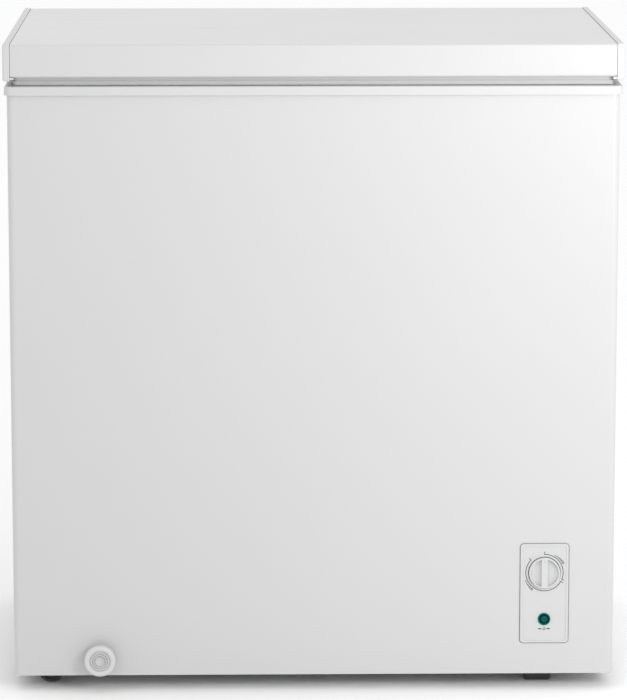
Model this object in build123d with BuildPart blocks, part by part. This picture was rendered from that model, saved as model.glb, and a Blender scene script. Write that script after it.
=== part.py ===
"""Chest freezer of about 180 litres, built from its separate pieces.

Units are millimetres. X runs to the right and Y to the back as the user stands in front, Z is up.
The origin is on the floor, under the middle of the overall box.
The cabinet is a steel wrap, a back panel and a base pan around foam and an inner tub. The compressor
stands in a compartment at the lower right, behind the control panel. The lid turns on two spring hinges.
"""

import os
from math import cos, radians, sin

from build123d import *

os.makedirs("parts", exist_ok=True)

# ---- Driving dimensions -------------------------------------------------------------------------
HEIGHT = 850.0  # floor to lid top
LID_WIDTH = 795.0
LID_DEPTH = 530.0
PROUD = 18.0  # the drain cap in front and the hinges behind both stand this far past the lid
BODY_WIDTH = 786.0
BODY_FRONT = -260.0
BODY_BACK = 258.0
BODY_BOTTOM = 20.0  # underside of the cabinet, above the floor
SHEET = 0.8  # painted steel sheet
GAP = 0.2  # assembly gap between neighbouring sheets and mouldings
WALL = 55.0  # insulated wall with both skins
OPEN_ANGLE = 85.0  # how far the lid opens, in degrees

# Cabinet rim
RIM_TOP = 795.5
RIM_BOTTOM = 784.0
RIM_OVERHANG = 3.5  # past the wrap at the sides
RIM_PLATE = 3.0  # thickness of the rim moulding
LEDGE_Z = 785.0  # the basket rests here
LEDGE_WIDTH = 12.0

# Compressor compartment and tub
BAY_LEFT = 188.0
BAY_TOP = 255.0
STEP_FOAM = 45.0  # foam between the compartment and the tub
TUB_SHEET = 1.0
TUB_CORNER = 15.0

# Lid
CAP_WIDTH = 9.0  # how much of the end cap shows on the lid's top and front
CAP_PROUD = 0.8  # the caps stand this far outside the lid's sheet
SEAM = 0.6  # open joint between the lid's sheet and each cap
CAP_BOTTOM = 802.3
SKIRT_BOTTOM = 807.0
GASKET_INSET = 11.5  # from the rim's edge to the gasket
GASKET_WIDTH = 16.0
LID_FLANGE_Z = 805.5  # underside of the lid liner's rim, where the gasket hangs
LID_PAN_Z = 797.0  # underside of the lid liner's raised pan

# Control panel on the front, over the compartment
PANEL_X = 301.8
PANEL_Z = 128.0
PANEL_WIDTH = 63.0
PANEL_HEIGHT = 132.6
PANEL_PROUD = 2.0
PANEL_CORNER = 4.5
OUTLINE = 1.1  # open joint round the panel, which sits in a pressed recess of the wrap
RECESS = 1.6
KNOB_Z = 155.9
KNOB_RADIUS = 20.5
KNOB_PROUD = 4.0  # the knob's rim stands this far in front of the panel
KNOB_DEPTH = 14.0
KNOB_GAP = 0.8  # round the knob, in its well in the panel
LAMP_Z = 93.6
LAMP_RADIUS = 8.1

# Drain at the lower left
DRAIN_X = -280.0
DRAIN_Z = 44.0
DRAIN_CAP_RADIUS = 20.5
DRAIN_CAP_DEPTH = 16.0
DRAIN_PLUG_Y = -165.0

# Feet at the right, wheels at the left
FOOT_X = 297.0
FOOT_Y = (-202.0, 202.0)
WHEEL_X = -347.0
WHEEL_RADIUS = 17.5
WHEEL_WIDTH = 18.0
WHEEL_Y = (-209.0, 205.0)

# Spring hinges: a cam on the lid's leaf presses a sprung plunger in a channel behind the cabinet
HINGE_X = (-235.0, 235.0)
PIN_Y = 271.0
PIN_Z = 806.0
PIN_RADIUS = 2.5
CHANNEL_HALF = 15.0
CHANNEL_STEEL = 2.0
CHANNEL_BOTTOM = 690.0
CAM_RADIUS = 12.0
CAM_RISE = 5.5  # how far the plunger rises while the lid opens
CAM_GAP = 0.8
SPRING_RADIUS = 7.0
SPRING_WIRE = 1.0

# Compartment vent, its grille and the cord gland
VENT_X = 290.0
VENT_Z = 140.0
VENT_OPENING = (176.0, 200.0)
GRILLE = (200.0, 224.0)
SCREW_RADIUS = 2.0
SCREW_HOLE = 2.2
SCREW_HEAD = (3.8, 2.4)  # radius and height
SCREW_CROSS = (5.0, 1.0)  # length and width of each slot of the cross

# ---- Derived places -----------------------------------------------------------------------------
LID_FRONT = -LID_DEPTH / 2
LID_BACK = LID_DEPTH / 2
HALF_BODY = BODY_WIDTH / 2
BODY_DEPTH = BODY_BACK - BODY_FRONT
BODY_MIDDLE = (BODY_FRONT + BODY_BACK) / 2
TUB_HALF = HALF_BODY - WALL
TUB_DEPTH = BODY_DEPTH - 2 * WALL
TUB_FLOOR = BODY_BOTTOM + WALL
TUB_TOP = LEDGE_Z - RIM_PLATE - GAP
STEP_X = BAY_LEFT - STEP_FOAM
STEP_Z = BAY_TOP + STEP_FOAM + 5
LEDGE_OPENING = (2 * TUB_HALF + 4, TUB_DEPTH + 4)
RIM_OPENING = (LEDGE_OPENING[0] + 2 * LEDGE_WIDTH, LEDGE_OPENING[1] + 2 * (LEDGE_WIDTH - 2))
RIM_SIZE = (BODY_WIDTH + 2 * RIM_OVERHANG, BODY_DEPTH + 8)
PANEL_FRONT = BODY_FRONT - PANEL_PROUD
KNOB_FRONT = PANEL_FRONT - KNOB_PROUD
KNOB_BACK = KNOB_FRONT + KNOB_DEPTH
CAP_FRONT = LID_FRONT - PROUD
HINGE_BACK = LID_BACK + PROUD
CENTRE = Plane.XY.move(Location((0, BODY_MIDDLE, 0)))

FLANGE_WIDTH = 17.0
LEAF_BOTTOM = PIN_Z + 10
LEAF_TOP = PIN_Z + 40
SIDES = (-1, 1)
BRACKET_SCREWS = [
    (x + side * (CHANNEL_HALF + FLANGE_WIDTH / 2), z) for x in HINGE_X for side in SIDES for z in (705, 765)
]
LEAF_SCREWS = [(x + side * 15, z) for x in HINGE_X for side in SIDES for z in (LEAF_BOTTOM + 8, LEAF_TOP - 6)]
GRILLE_SCREWS = [
    (VENT_X + dx * (GRILLE[0] / 2 - 6), VENT_Z + dz * (GRILLE[1] / 2 - 6)) for dx in SIDES for dz in SIDES
]

made = {}


def write(part, name):
    """Label a finished piece and write it as its own STEP file."""
    part.label = name
    made[name] = part
    export_step(part, f"parts/{name}.step")


def level(z):
    """A horizontal plane at height z, over the middle of the cabinet."""
    return CENTRE.offset(z)


def screws(places, y, shank=10.0):
    """Pan-head screws at (x, z) places, driven forward from the back of the freezer with their heads at y."""
    with BuildPart() as group:
        for x, z in places:
            seat = Plane(origin=(x, y, z), x_dir=(-1, 0, 0), z_dir=(0, 1, 0))
            with BuildSketch(seat):
                Circle(SCREW_HEAD[0])
            extrude(amount=SCREW_HEAD[1])
            with BuildSketch(seat.offset(SCREW_HEAD[1])):
                Rectangle(*SCREW_CROSS)
                Rectangle(*SCREW_CROSS, rotation=90)
            extrude(amount=-SCREW_CROSS[1], mode=Mode.SUBTRACT)
            with BuildSketch(seat):
                Circle(SCREW_RADIUS)
            extrude(amount=-shank)
    return group.part


def facing_front(x, y, z):
    """A vertical plane whose normal points at the user, so that extruding comes forward."""
    return Plane(origin=(x, y, z), x_dir=(1, 0, 0), z_dir=(0, -1, 0))


# ---- Inner tub ----------------------------------------------------------------------------------
def tub_block(grow):
    """The tub's space as a solid, larger by grow on every side but the top.

    The floor steps up at the right, over the compressor compartment.
    """
    left, right, floor = -TUB_HALF - grow, TUB_HALF + grow, TUB_FLOOR - grow
    step_x, step_z = STEP_X + grow, STEP_Z - grow
    with BuildPart() as block:
        with BuildSketch(Plane.XZ.offset(-BODY_MIDDLE)):
            with BuildLine():
                Polyline(
                    (left, floor),
                    (step_x, floor),
                    (step_x, step_z),
                    (right, step_z),
                    (right, TUB_TOP),
                    (left, TUB_TOP),
                    close=True,
                )
            make_face()
        extrude(amount=TUB_DEPTH / 2 + grow, both=True)
        top_edges = block.faces().sort_by(Axis.Z)[-1].edges()
        fillet([e for e in block.edges() if e not in top_edges], TUB_CORNER + grow)
    return block.part


tub_space = tub_block(0)
tub_outside = tub_block(TUB_SHEET)
FLANGE_REACH = 9.0
PLUG_HOLE = 8.5

with BuildPart() as inner_tub:
    add(tub_outside)
    with BuildSketch(level(TUB_TOP - TUB_SHEET)):
        Rectangle(2 * (TUB_HALF + FLANGE_REACH), TUB_DEPTH + 2 * FLANGE_REACH)
    extrude(amount=TUB_SHEET)
    add(tub_space, mode=Mode.SUBTRACT)
    with Locations((DRAIN_X, DRAIN_PLUG_Y, TUB_FLOOR)):
        Hole(radius=PLUG_HOLE, depth=10)
write(inner_tub.part, "inner_tub")

# ---- Cabinet rim --------------------------------------------------------------------------------
DROP_WALL = (RIM_OPENING[0] + 2 * RIM_PLATE, RIM_OPENING[1] + 2 * RIM_PLATE)
WRAP_CORNER = 8.0
RIM_CORNER = 10.0
MOUTH_CORNER = 18.0
DROP_CORNER = MOUTH_CORNER + RIM_PLATE
LEDGE_CORNER = 14.0

with BuildPart() as cabinet_rim:
    with BuildSketch(level(RIM_TOP - RIM_PLATE)):
        RectangleRounded(*RIM_SIZE, radius=RIM_CORNER)
        RectangleRounded(*RIM_OPENING, radius=MOUTH_CORNER, mode=Mode.SUBTRACT)
    extrude(amount=RIM_PLATE)
    with BuildSketch(level(RIM_BOTTOM)):
        RectangleRounded(*RIM_SIZE, radius=RIM_CORNER)
        RectangleRounded(BODY_WIDTH + 2 * GAP, BODY_DEPTH + 2 * GAP, radius=WRAP_CORNER, mode=Mode.SUBTRACT)
        # the cabinet's rear corners are square
        with Locations((0, BODY_DEPTH / 2 + GAP)):
            Rectangle(BODY_WIDTH + 2 * GAP, 20, align=(Align.CENTER, Align.MAX), mode=Mode.SUBTRACT)
    extrude(amount=RIM_TOP - RIM_PLATE - RIM_BOTTOM)
    with BuildSketch(level(LEDGE_Z - RIM_PLATE)):
        RectangleRounded(*DROP_WALL, radius=DROP_CORNER)
        RectangleRounded(*RIM_OPENING, radius=MOUTH_CORNER, mode=Mode.SUBTRACT)
    extrude(amount=RIM_TOP - LEDGE_Z)
    with BuildSketch(level(LEDGE_Z - RIM_PLATE)):
        RectangleRounded(*DROP_WALL, radius=DROP_CORNER)
        RectangleRounded(*LEDGE_OPENING, radius=LEDGE_CORNER, mode=Mode.SUBTRACT)
    extrude(amount=RIM_PLATE)
    outer_top = cabinet_rim.faces().sort_by(Axis.Z)[-1].outer_wire().edges()
    fillet(outer_top, 2)
write(cabinet_rim.part, "cabinet_rim")

# ---- Steel shell --------------------------------------------------------------------------------
WRAP_TOP = RIM_TOP - RIM_PLATE - GAP
RETURN_FLANGE = 16.0
CUTOUT = (55.0, 124.0)  # hole in the wrap behind the control panel
DRAIN_HOLE = 8.0
recess_size = (PANEL_WIDTH + 2 * OUTLINE, PANEL_HEIGHT + 2 * OUTLINE)
recess_outside = (recess_size[0] + 2 * SHEET, recess_size[1] + 2 * SHEET)
recess_face = facing_front(PANEL_X, BODY_FRONT + RECESS, PANEL_Z)

with BuildPart() as outer_wrap:
    with BuildSketch(level(BODY_BOTTOM)) as plan:
        with Locations((0, -SHEET / 2)):
            Rectangle(BODY_WIDTH, BODY_DEPTH - SHEET)
        fillet(plan.vertices().group_by(Axis.Y)[0], WRAP_CORNER)
        with BuildSketch(mode=Mode.SUBTRACT) as inside:
            with Locations((0, -SHEET / 2)):
                Rectangle(BODY_WIDTH - 2 * SHEET, BODY_DEPTH - 3 * SHEET)
            fillet(inside.vertices().group_by(Axis.Y)[0], WRAP_CORNER - SHEET)
        with Locations((0, BODY_DEPTH / 2)):
            Rectangle(BODY_WIDTH - 2 * RETURN_FLANGE, 10, mode=Mode.SUBTRACT)
    extrude(amount=WRAP_TOP - BODY_BOTTOM)
    # the sheet is pressed inwards where the control panel sits
    with BuildSketch(recess_face.offset(-SHEET)):
        RectangleRounded(*recess_outside, radius=PANEL_CORNER + OUTLINE + SHEET)
    extrude(amount=RECESS)
    with BuildSketch(recess_face):
        RectangleRounded(*recess_size, radius=PANEL_CORNER + OUTLINE)
    extrude(amount=RECESS, mode=Mode.SUBTRACT)
    with BuildSketch(recess_face.offset(-SHEET)):
        Rectangle(*CUTOUT)
    extrude(amount=10, mode=Mode.SUBTRACT)
    with BuildSketch(facing_front(DRAIN_X, BODY_FRONT + 5, DRAIN_Z)):
        Circle(DRAIN_HOLE)
    extrude(amount=10, mode=Mode.SUBTRACT)
    with BuildSketch(facing_front(0, BODY_BACK, 0)):
        with Locations(*GRILLE_SCREWS):
            Circle(SCREW_HOLE)
    extrude(amount=10, mode=Mode.SUBTRACT)
write(outer_wrap.part, "outer_wrap")

with BuildPart() as back_panel:
    with BuildSketch(facing_front(0, BODY_BACK, BODY_BOTTOM)):
        Rectangle(BODY_WIDTH, WRAP_TOP - BODY_BOTTOM, align=(Align.CENTER, Align.MIN))
        with Locations((VENT_X, VENT_Z - BODY_BOTTOM)):
            RectangleRounded(*VENT_OPENING, radius=6, mode=Mode.SUBTRACT)
        with Locations(*[(x, z - BODY_BOTTOM) for x, z in GRILLE_SCREWS + BRACKET_SCREWS]):
            Circle(SCREW_HOLE, mode=Mode.SUBTRACT)
    extrude(amount=SHEET)
write(back_panel.part, "back_panel")

PAN_FLANGE = 6.0
HOUSING = (48.0, 30.0)  # wheel housing in plan
pan_left, pan_right = -HALF_BODY + SHEET + GAP, BAY_LEFT - SHEET - GAP
pan_front, pan_back = BODY_FRONT + SHEET + GAP, BODY_BACK - 2 * SHEET - GAP
pan_size = (pan_right - pan_left, pan_back - pan_front)
pan_inside = (pan_size[0] - 2 * SHEET, pan_size[1] - 2 * SHEET)
pan_centre = ((pan_left + pan_right) / 2, (pan_front + pan_back) / 2)

with BuildPart() as base_pan:
    with BuildSketch(Plane.XY.offset(BODY_BOTTOM)):
        with Locations(pan_centre):
            RectangleRounded(*pan_size, radius=WRAP_CORNER)
        with Locations(*[(WHEEL_X, y) for y in WHEEL_Y]):
            Rectangle(HOUSING[0] + 2 * GAP, HOUSING[1] + 2 * GAP, mode=Mode.SUBTRACT)
    extrude(amount=SHEET)
    with BuildSketch(Plane.XY.offset(BODY_BOTTOM)):
        with Locations(pan_centre):
            RectangleRounded(*pan_size, radius=WRAP_CORNER)
            RectangleRounded(*pan_inside, radius=WRAP_CORNER - SHEET, mode=Mode.SUBTRACT)
    extrude(amount=PAN_FLANGE)
write(base_pan.part, "base_pan")

# The bulkhead is one bent sheet: a wall beside the compartment and a roof over it.
with BuildPart() as bay_bulkhead:
    with BuildSketch(Plane.XZ.offset(-pan_front)):
        with BuildLine():
            Polyline(
                (BAY_LEFT - SHEET, BODY_BOTTOM),
                (BAY_LEFT, BODY_BOTTOM),
                (BAY_LEFT, BAY_TOP),
                (HALF_BODY - SHEET - GAP, BAY_TOP),
                (HALF_BODY - SHEET - GAP, BAY_TOP + SHEET),
                (BAY_LEFT - SHEET, BAY_TOP + SHEET),
                close=True,
            )
        make_face()
    extrude(amount=-pan_size[1])
    fillet(bay_bulkhead.edges().filter_by(Axis.Z).group_by(Axis.X)[-1].sort_by(Axis.Y)[0], WRAP_CORNER)
write(bay_bulkhead.part, "bay_bulkhead")

# ---- Wheels and feet ----------------------------------------------------------------------------
HOUSING_TOP = 42.0
POCKET = (42.0, 24.0)
AXLE_RADIUS = 3.0
AXLE_PLAY = 0.08
EAR_RADIUS = 8.0
HOUSING_LIP = (5.0, 1.5)  # reach and thickness of the flange under the base pan
HUB_WALL = 3.5
TYRE_WALL = 4.0
HUB_HOLLOW = 3.0

for end, wheel_y in zip(("front", "rear"), WHEEL_Y):
    axle_line = Plane(origin=(WHEEL_X, wheel_y, WHEEL_RADIUS), x_dir=(1, 0, 0), z_dir=(0, 1, 0))
    with BuildPart() as wheel_housing:
        with BuildSketch(Plane.XY.offset(BODY_BOTTOM)):
            with Locations((WHEEL_X, wheel_y)):
                Rectangle(*HOUSING)
        extrude(amount=HOUSING_TOP - BODY_BOTTOM)
        with BuildSketch(Plane.XY.offset(BODY_BOTTOM - HOUSING_LIP[1])):
            with Locations((WHEEL_X, wheel_y)):
                RectangleRounded(HOUSING[0] + 2 * HOUSING_LIP[0], HOUSING[1] + 2 * HOUSING_LIP[0], radius=3)
        extrude(amount=HOUSING_LIP[1])
        with BuildSketch(axle_line):
            Circle(EAR_RADIUS)
        extrude(amount=HOUSING[1] / 2, both=True)
        with BuildSketch(Plane.XY.offset(0)):
            with Locations((WHEEL_X, wheel_y)):
                Rectangle(*POCKET)
        extrude(amount=HOUSING_TOP - 3, mode=Mode.SUBTRACT)
        with BuildSketch(axle_line):
            Circle(AXLE_RADIUS)
        extrude(amount=HOUSING[1], both=True, mode=Mode.SUBTRACT)
    write(wheel_housing.part, f"wheel_housing_{end}")

    with BuildPart() as wheel:
        with BuildSketch(axle_line):
            Circle(WHEEL_RADIUS)
        extrude(amount=WHEEL_WIDTH / 2, both=True)
        fillet(wheel.edges(), 1.5)
        for side in SIDES:
            with BuildSketch(axle_line.offset(side * WHEEL_WIDTH / 2)):
                Circle(WHEEL_RADIUS - TYRE_WALL)
                Circle(AXLE_RADIUS + HUB_WALL, mode=Mode.SUBTRACT)
            extrude(amount=-side * HUB_HOLLOW, mode=Mode.SUBTRACT)
        with BuildSketch(axle_line):
            Circle(AXLE_RADIUS + AXLE_PLAY)
        extrude(amount=WHEEL_WIDTH, both=True, mode=Mode.SUBTRACT)
    write(wheel.part, f"wheel_{end}")

with BuildPart() as wheel_axles:
    for wheel_y in WHEEL_Y:
        with BuildSketch(Plane(origin=(WHEEL_X, wheel_y, WHEEL_RADIUS), x_dir=(1, 0, 0), z_dir=(0, 1, 0))):
            Circle(AXLE_RADIUS)
        extrude(amount=HOUSING[1] / 2, both=True)
write(wheel_axles.part, "wheel_axles")

STUD_RADIUS = 4.0
PLATE_STEEL = 2.0
FOOT_SOLE = 34.0  # the foot narrows towards the floor
FOOT_TAPER = 6.42

for end, foot_y in zip(("front", "rear"), FOOT_Y):
    with BuildPart() as foot:
        with BuildSketch():
            with Locations((FOOT_X, foot_y)):
                RectangleRounded(FOOT_SOLE, FOOT_SOLE, radius=4)
        extrude(amount=BODY_BOTTOM, taper=-FOOT_TAPER)
        fillet(foot.faces().sort_by(Axis.Z)[0].edges(), 1.5)
        with BuildSketch(Plane.XY.offset(BODY_BOTTOM)):
            with Locations((FOOT_X, foot_y)):
                Circle(STUD_RADIUS)
        extrude(amount=PLATE_STEEL + 8)
    write(foot.part, f"foot_{end}")

# ---- Compressor and its circuit -----------------------------------------------------------------
PLATE = (196.0, 507.0)
PLATE_X = 290.0
COMP_Y = 120.0
COMP_X = 290.0
MOUNT_SPACING = (102.0, 165.0)
MOUNTS = [
    (COMP_X + dx * MOUNT_SPACING[0] / 2, COMP_Y + dy * MOUNT_SPACING[1] / 2) for dx in SIDES for dy in SIDES
]
GROMMET_HEIGHT = 10.0
GROMMET_RADIUS = 10.0
BOLT_RADIUS = 4.0
BOLT_HEAD = 6.5  # from the middle to a corner of the hexagon
AIR_SLOT = (120.0, 40.0)
AIR_SLOT_Y = -60.0
plate_top = BODY_BOTTOM + PLATE_STEEL
leg_z = plate_top + GROMMET_HEIGHT

with BuildPart() as compressor_plate:
    with BuildSketch(Plane.XY.offset(BODY_BOTTOM)):
        with Locations((PLATE_X, BODY_MIDDLE)):
            RectangleRounded(*PLATE, radius=6)
        with Locations(*MOUNTS):
            Circle(BOLT_RADIUS + 0.5, mode=Mode.SUBTRACT)
        with Locations(*[(FOOT_X, y) for y in FOOT_Y]):
            Circle(STUD_RADIUS + GAP, mode=Mode.SUBTRACT)
        with Locations((PLATE_X, AIR_SLOT_Y)):
            SlotOverall(*AIR_SLOT, mode=Mode.SUBTRACT)
    extrude(amount=PLATE_STEEL)
write(compressor_plate.part, "compressor_plate")

SHELL_RADII = (58.0, 74.0)
SHELL_HEIGHT = 150.0
SHELL_WALL = 3.0
SHELL_ROUND = (32.0, 18.0)  # top and bottom edge
WELD_Z = 70.0  # the welded seam, above the shell's bottom
WELD_RIM = (4.0, 5.0)  # reach and height
LEG_STEEL = 4.0
LEG_MARGIN = 13.0  # from the mounting holes to the legs' edge
shell_bottom = leg_z + LEG_STEEL
shell_inside = (SHELL_RADII[0] - SHELL_WALL - 12, SHELL_RADII[1] - SHELL_WALL - 12)

with BuildPart() as compressor_shell:
    with BuildSketch(Plane.XY.offset(shell_bottom)):
        with Locations((COMP_X, COMP_Y)):
            Ellipse(*SHELL_RADII)
    extrude(amount=SHELL_HEIGHT)
    fillet(compressor_shell.faces().sort_by(Axis.Z)[-1].edges(), SHELL_ROUND[0])
    fillet(compressor_shell.faces().sort_by(Axis.Z)[0].edges(), SHELL_ROUND[1])
    # the seam where the two pressed halves are welded
    with BuildSketch(Plane.XY.offset(shell_bottom + WELD_Z)):
        with Locations((COMP_X, COMP_Y)):
            Ellipse(SHELL_RADII[0] + WELD_RIM[0], SHELL_RADII[1] + WELD_RIM[0])
    extrude(amount=WELD_RIM[1])
    # mounting legs under the shell
    with BuildSketch(Plane.XY.offset(leg_z)):
        with Locations((COMP_X, COMP_Y)):
            RectangleRounded(MOUNT_SPACING[0] + 2 * LEG_MARGIN, MOUNT_SPACING[1] + 2 * LEG_MARGIN, radius=12)
            Ellipse(SHELL_RADII[0] - 20, SHELL_RADII[1] - 20, mode=Mode.SUBTRACT)
        with Locations(*MOUNTS):
            Circle(BOLT_RADIUS + 2, mode=Mode.SUBTRACT)
    extrude(amount=LEG_STEEL)
    with BuildSketch(Plane.XY.offset(shell_bottom + SHELL_WALL)):
        with Locations((COMP_X, COMP_Y)):
            Ellipse(*shell_inside)
    extrude(amount=SHELL_HEIGHT - 22, mode=Mode.SUBTRACT)
write(compressor_shell.part, "compressor_shell")

PUMP_MOTOR = (30.0, 60.0)  # radius and height
PUMP_BLOCK = (56.0, 76.0, 44.0)

with BuildPart() as compressor_pump:
    with BuildSketch(Plane.XY.offset(shell_bottom + SHELL_WALL)):
        with Locations((COMP_X, COMP_Y)):
            Circle(PUMP_MOTOR[0])
    extrude(amount=PUMP_MOTOR[1])
    with BuildSketch(Plane.XY.offset(shell_bottom + SHELL_WALL + PUMP_MOTOR[1])):
        with Locations((COMP_X, COMP_Y)):
            RectangleRounded(PUMP_BLOCK[0], PUMP_BLOCK[1], radius=10)
    extrude(amount=PUMP_BLOCK[2])
write(compressor_pump.part, "compressor_pump")

with BuildPart() as compressor_grommets:
    with BuildSketch(Plane.XY.offset(plate_top)):
        with Locations(*MOUNTS):
            Circle(GROMMET_RADIUS)
            Circle(BOLT_RADIUS + GAP, mode=Mode.SUBTRACT)
    extrude(amount=GROMMET_HEIGHT)
write(compressor_grommets.part, "compressor_grommets")

with BuildPart() as compressor_bolts:
    with BuildSketch(Plane.XY.offset(BODY_BOTTOM - 3)):
        with Locations(*MOUNTS):
            RegularPolygon(BOLT_HEAD, 6)
    extrude(amount=3)
    with BuildSketch(Plane.XY.offset(BODY_BOTTOM)):
        with Locations(*MOUNTS):
            Circle(BOLT_RADIUS)
    extrude(amount=24)
    with BuildSketch(Plane.XY.offset(leg_z + LEG_STEEL)):
        with Locations(*MOUNTS):
            RegularPolygon(BOLT_HEAD, 6)
    extrude(amount=5)
write(compressor_bolts.part, "compressor_bolts")

RELAY = (46.0, 30.0, 62.0)
RELAY_Z = 70.0
relay_y = COMP_Y - SHELL_RADII[1] - WELD_RIM[0]

with BuildPart() as relay_box:
    with BuildSketch(Plane.XY.offset(RELAY_Z)):
        with Locations((COMP_X, relay_y)):
            Rectangle(RELAY[0], RELAY[1], align=(Align.CENTER, Align.MAX))
    extrude(amount=RELAY[2])
    fillet(relay_box.edges().filter_by(Axis.Z), 4)
write(relay_box.part, "relay_box")


def bent_tube(points, bend, radius):
    """A solid round bar along straight runs with one bend radius, for refrigerant tubing and leads."""
    with BuildPart() as tube:
        with BuildLine() as route:
            FilletPolyline(*points, radius=bend)
        with BuildSketch(Plane(origin=route.line @ 0, z_dir=route.line % 0)):
            Circle(radius)
        sweep()
    return tube.part


# The two big tubes leave the shell at its sides, rise, run forward and go up through the roof.
TUBE_BEND = 12.0
PORT_Z = shell_bottom + 95
TUBE_END_Z = BAY_TOP - GAP
DRIER_Y = (-165.0, -65.0)
DRIER_X = COMP_X - 70
DRIER_Z = 215.0
DRIER_RADIUS = 10.0
DRIER_BEND = 10.0
CAPILLARY_RADIUS = 1.5
BIG_TUBES = (  # name, side, reach from the middle, height of the run, end in Y, radius
    ("suction_tube", -1, 80.0, 228.0, -40.0, 4.0),
    ("discharge_tube", 1, 76.0, 236.0, -50.0, 3.0),
)

for name, side, reach, run_z, end_y, radius in BIG_TUBES:
    x = COMP_X + side * reach
    route = [
        (COMP_X + side * (SHELL_RADII[0] + 0.1), COMP_Y, PORT_Z),
        (x, COMP_Y, PORT_Z),
        (x, COMP_Y, run_z),
        (x, end_y, run_z),
        (x, end_y, TUBE_END_Z),
    ]
    write(bent_tube(route, TUBE_BEND, radius), name)

with BuildPart() as filter_drier:
    with BuildSketch(Plane(origin=(DRIER_X, DRIER_Y[0], DRIER_Z), x_dir=(1, 0, 0), z_dir=(0, 1, 0))):
        Circle(DRIER_RADIUS)
    extrude(amount=DRIER_Y[1] - DRIER_Y[0])
    fillet(filter_drier.edges(), 6)
write(filter_drier.part, "filter_drier")

THIN_TUBES = (  # name, start in Y, which way it leaves, radius
    ("drier_inlet_tube", DRIER_Y[0], -1, 3.0),
    ("capillary_tube", DRIER_Y[1], 1, CAPILLARY_RADIUS),
)

for name, end_y, away, radius in THIN_TUBES:
    turn_y = end_y + away * 18
    route = [(DRIER_X, end_y, DRIER_Z), (DRIER_X, turn_y, DRIER_Z), (DRIER_X, turn_y, TUBE_END_Z)]
    write(bent_tube(route, DRIER_BEND, radius), name)

# Evaporator: one tube wound round the tub above the step. Condenser: one tube folded behind the wrap.
EVAPORATOR_RADIUS = 4.0
EVAPORATOR_TURNS = 6
EVAPORATOR_PITCH = 68.0
EVAPORATOR_START = STEP_Z + 30
CONDENSER_RADIUS = 2.5
CONDENSER_RUNS = 6
CONDENSER_PITCH = 77.0
EVAPORATOR_BEND = 19.0
CONDENSER_BEND = 22.0

wound_x = TUB_HALF + TUB_SHEET + EVAPORATOR_RADIUS + 1
wound_y = TUB_DEPTH / 2 + TUB_SHEET + EVAPORATOR_RADIUS + 1
wound_corners = [(-wound_x, -wound_y), (wound_x, -wound_y), (wound_x, wound_y), (-wound_x, wound_y)]
wound = [
    (corner[0], corner[1] + BODY_MIDDLE, EVAPORATOR_START + EVAPORATOR_PITCH * (turn + number / 4))
    for turn in range(EVAPORATOR_TURNS)
    for number, corner in enumerate(wound_corners)
]
evaporator = bent_tube(wound, EVAPORATOR_BEND, EVAPORATOR_RADIUS)
write(evaporator, "evaporator_coil")

folded_x = HALF_BODY - SHEET - CONDENSER_RADIUS - 0.5
folded_front = BODY_FRONT + SHEET + CONDENSER_RADIUS + 0.5
folded_back = BODY_BACK - 45
folded = []
for run in range(CONDENSER_RUNS):
    z = BAY_TOP + 40 + CONDENSER_PITCH * run
    corners = [
        (-folded_x, folded_back, z),
        (-folded_x, folded_front, z),
        (folded_x, folded_front, z),
        (folded_x, folded_back, z),
    ]
    folded += corners if run % 2 == 0 else corners[::-1]
condenser = bent_tube(folded, CONDENSER_BEND, CONDENSER_RADIUS)
write(condenser, "condenser_coil")

# ---- Rear cover of the compartment --------------------------------------------------------------
GRILLE_STEEL = 1.0
SLOT_COUNT = 11
SLOT_PITCH = 15.0
SLOT_SIZE = (66.0, 5.0)
SLOT_COLUMNS = 82.0  # from one column of slots to the other
GLAND_X = VENT_X - 78
GLAND_Z = VENT_Z - 88
GLAND_RADIUS = 9.0
GLAND_LIP = 3.0
GLAND_NECK = 6.0
CORD_HOLE = 4.2

with BuildPart() as rear_grille:
    with BuildSketch(facing_front(0, BODY_BACK + GRILLE_STEEL, 0)):
        with Locations((VENT_X, VENT_Z)):
            RectangleRounded(*GRILLE, radius=5)
        with Locations((VENT_X + 6, VENT_Z + 8)):
            with GridLocations(SLOT_COLUMNS, SLOT_PITCH, 2, SLOT_COUNT):
                SlotOverall(*SLOT_SIZE, mode=Mode.SUBTRACT)
        with Locations((GLAND_X, GLAND_Z)):
            Circle(GLAND_RADIUS, mode=Mode.SUBTRACT)
        with Locations(*GRILLE_SCREWS):
            Circle(SCREW_HOLE, mode=Mode.SUBTRACT)
    extrude(amount=GRILLE_STEEL)
write(rear_grille.part, "rear_grille")


write(screws(GRILLE_SCREWS, BODY_BACK + GRILLE_STEEL), "grille_screws")

with BuildPart() as cord_gland:
    gland_plane = facing_front(GLAND_X, BODY_BACK + GRILLE_STEEL, GLAND_Z)
    with BuildSketch(gland_plane.offset(-GLAND_LIP)):
        Circle(GLAND_RADIUS + GLAND_LIP)
    extrude(amount=GLAND_LIP)
    with BuildSketch(gland_plane):
        Circle(GLAND_RADIUS - GAP)
    extrude(amount=GLAND_NECK)
    with BuildSketch(gland_plane.offset(-GLAND_LIP)):
        Circle(CORD_HOLE)
    extrude(amount=GLAND_LIP + GLAND_NECK, mode=Mode.SUBTRACT)
write(cord_gland.part, "cord_gland")

# ---- Control panel, thermostat and lamp ---------------------------------------------------------
SHAFT_RADIUS = 3.0
BORDER = 3.0  # raised border of the panel
BORDER_HEIGHT = 0.6
LENS_NECK = 6.4
WELL_WALL = 1.2
WELL_FLOOR = 1.5
well_radius = KNOB_RADIUS + KNOB_GAP
well_back = KNOB_BACK + 0.5
panel_front_face = facing_front(PANEL_X, PANEL_FRONT, PANEL_Z)

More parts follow.
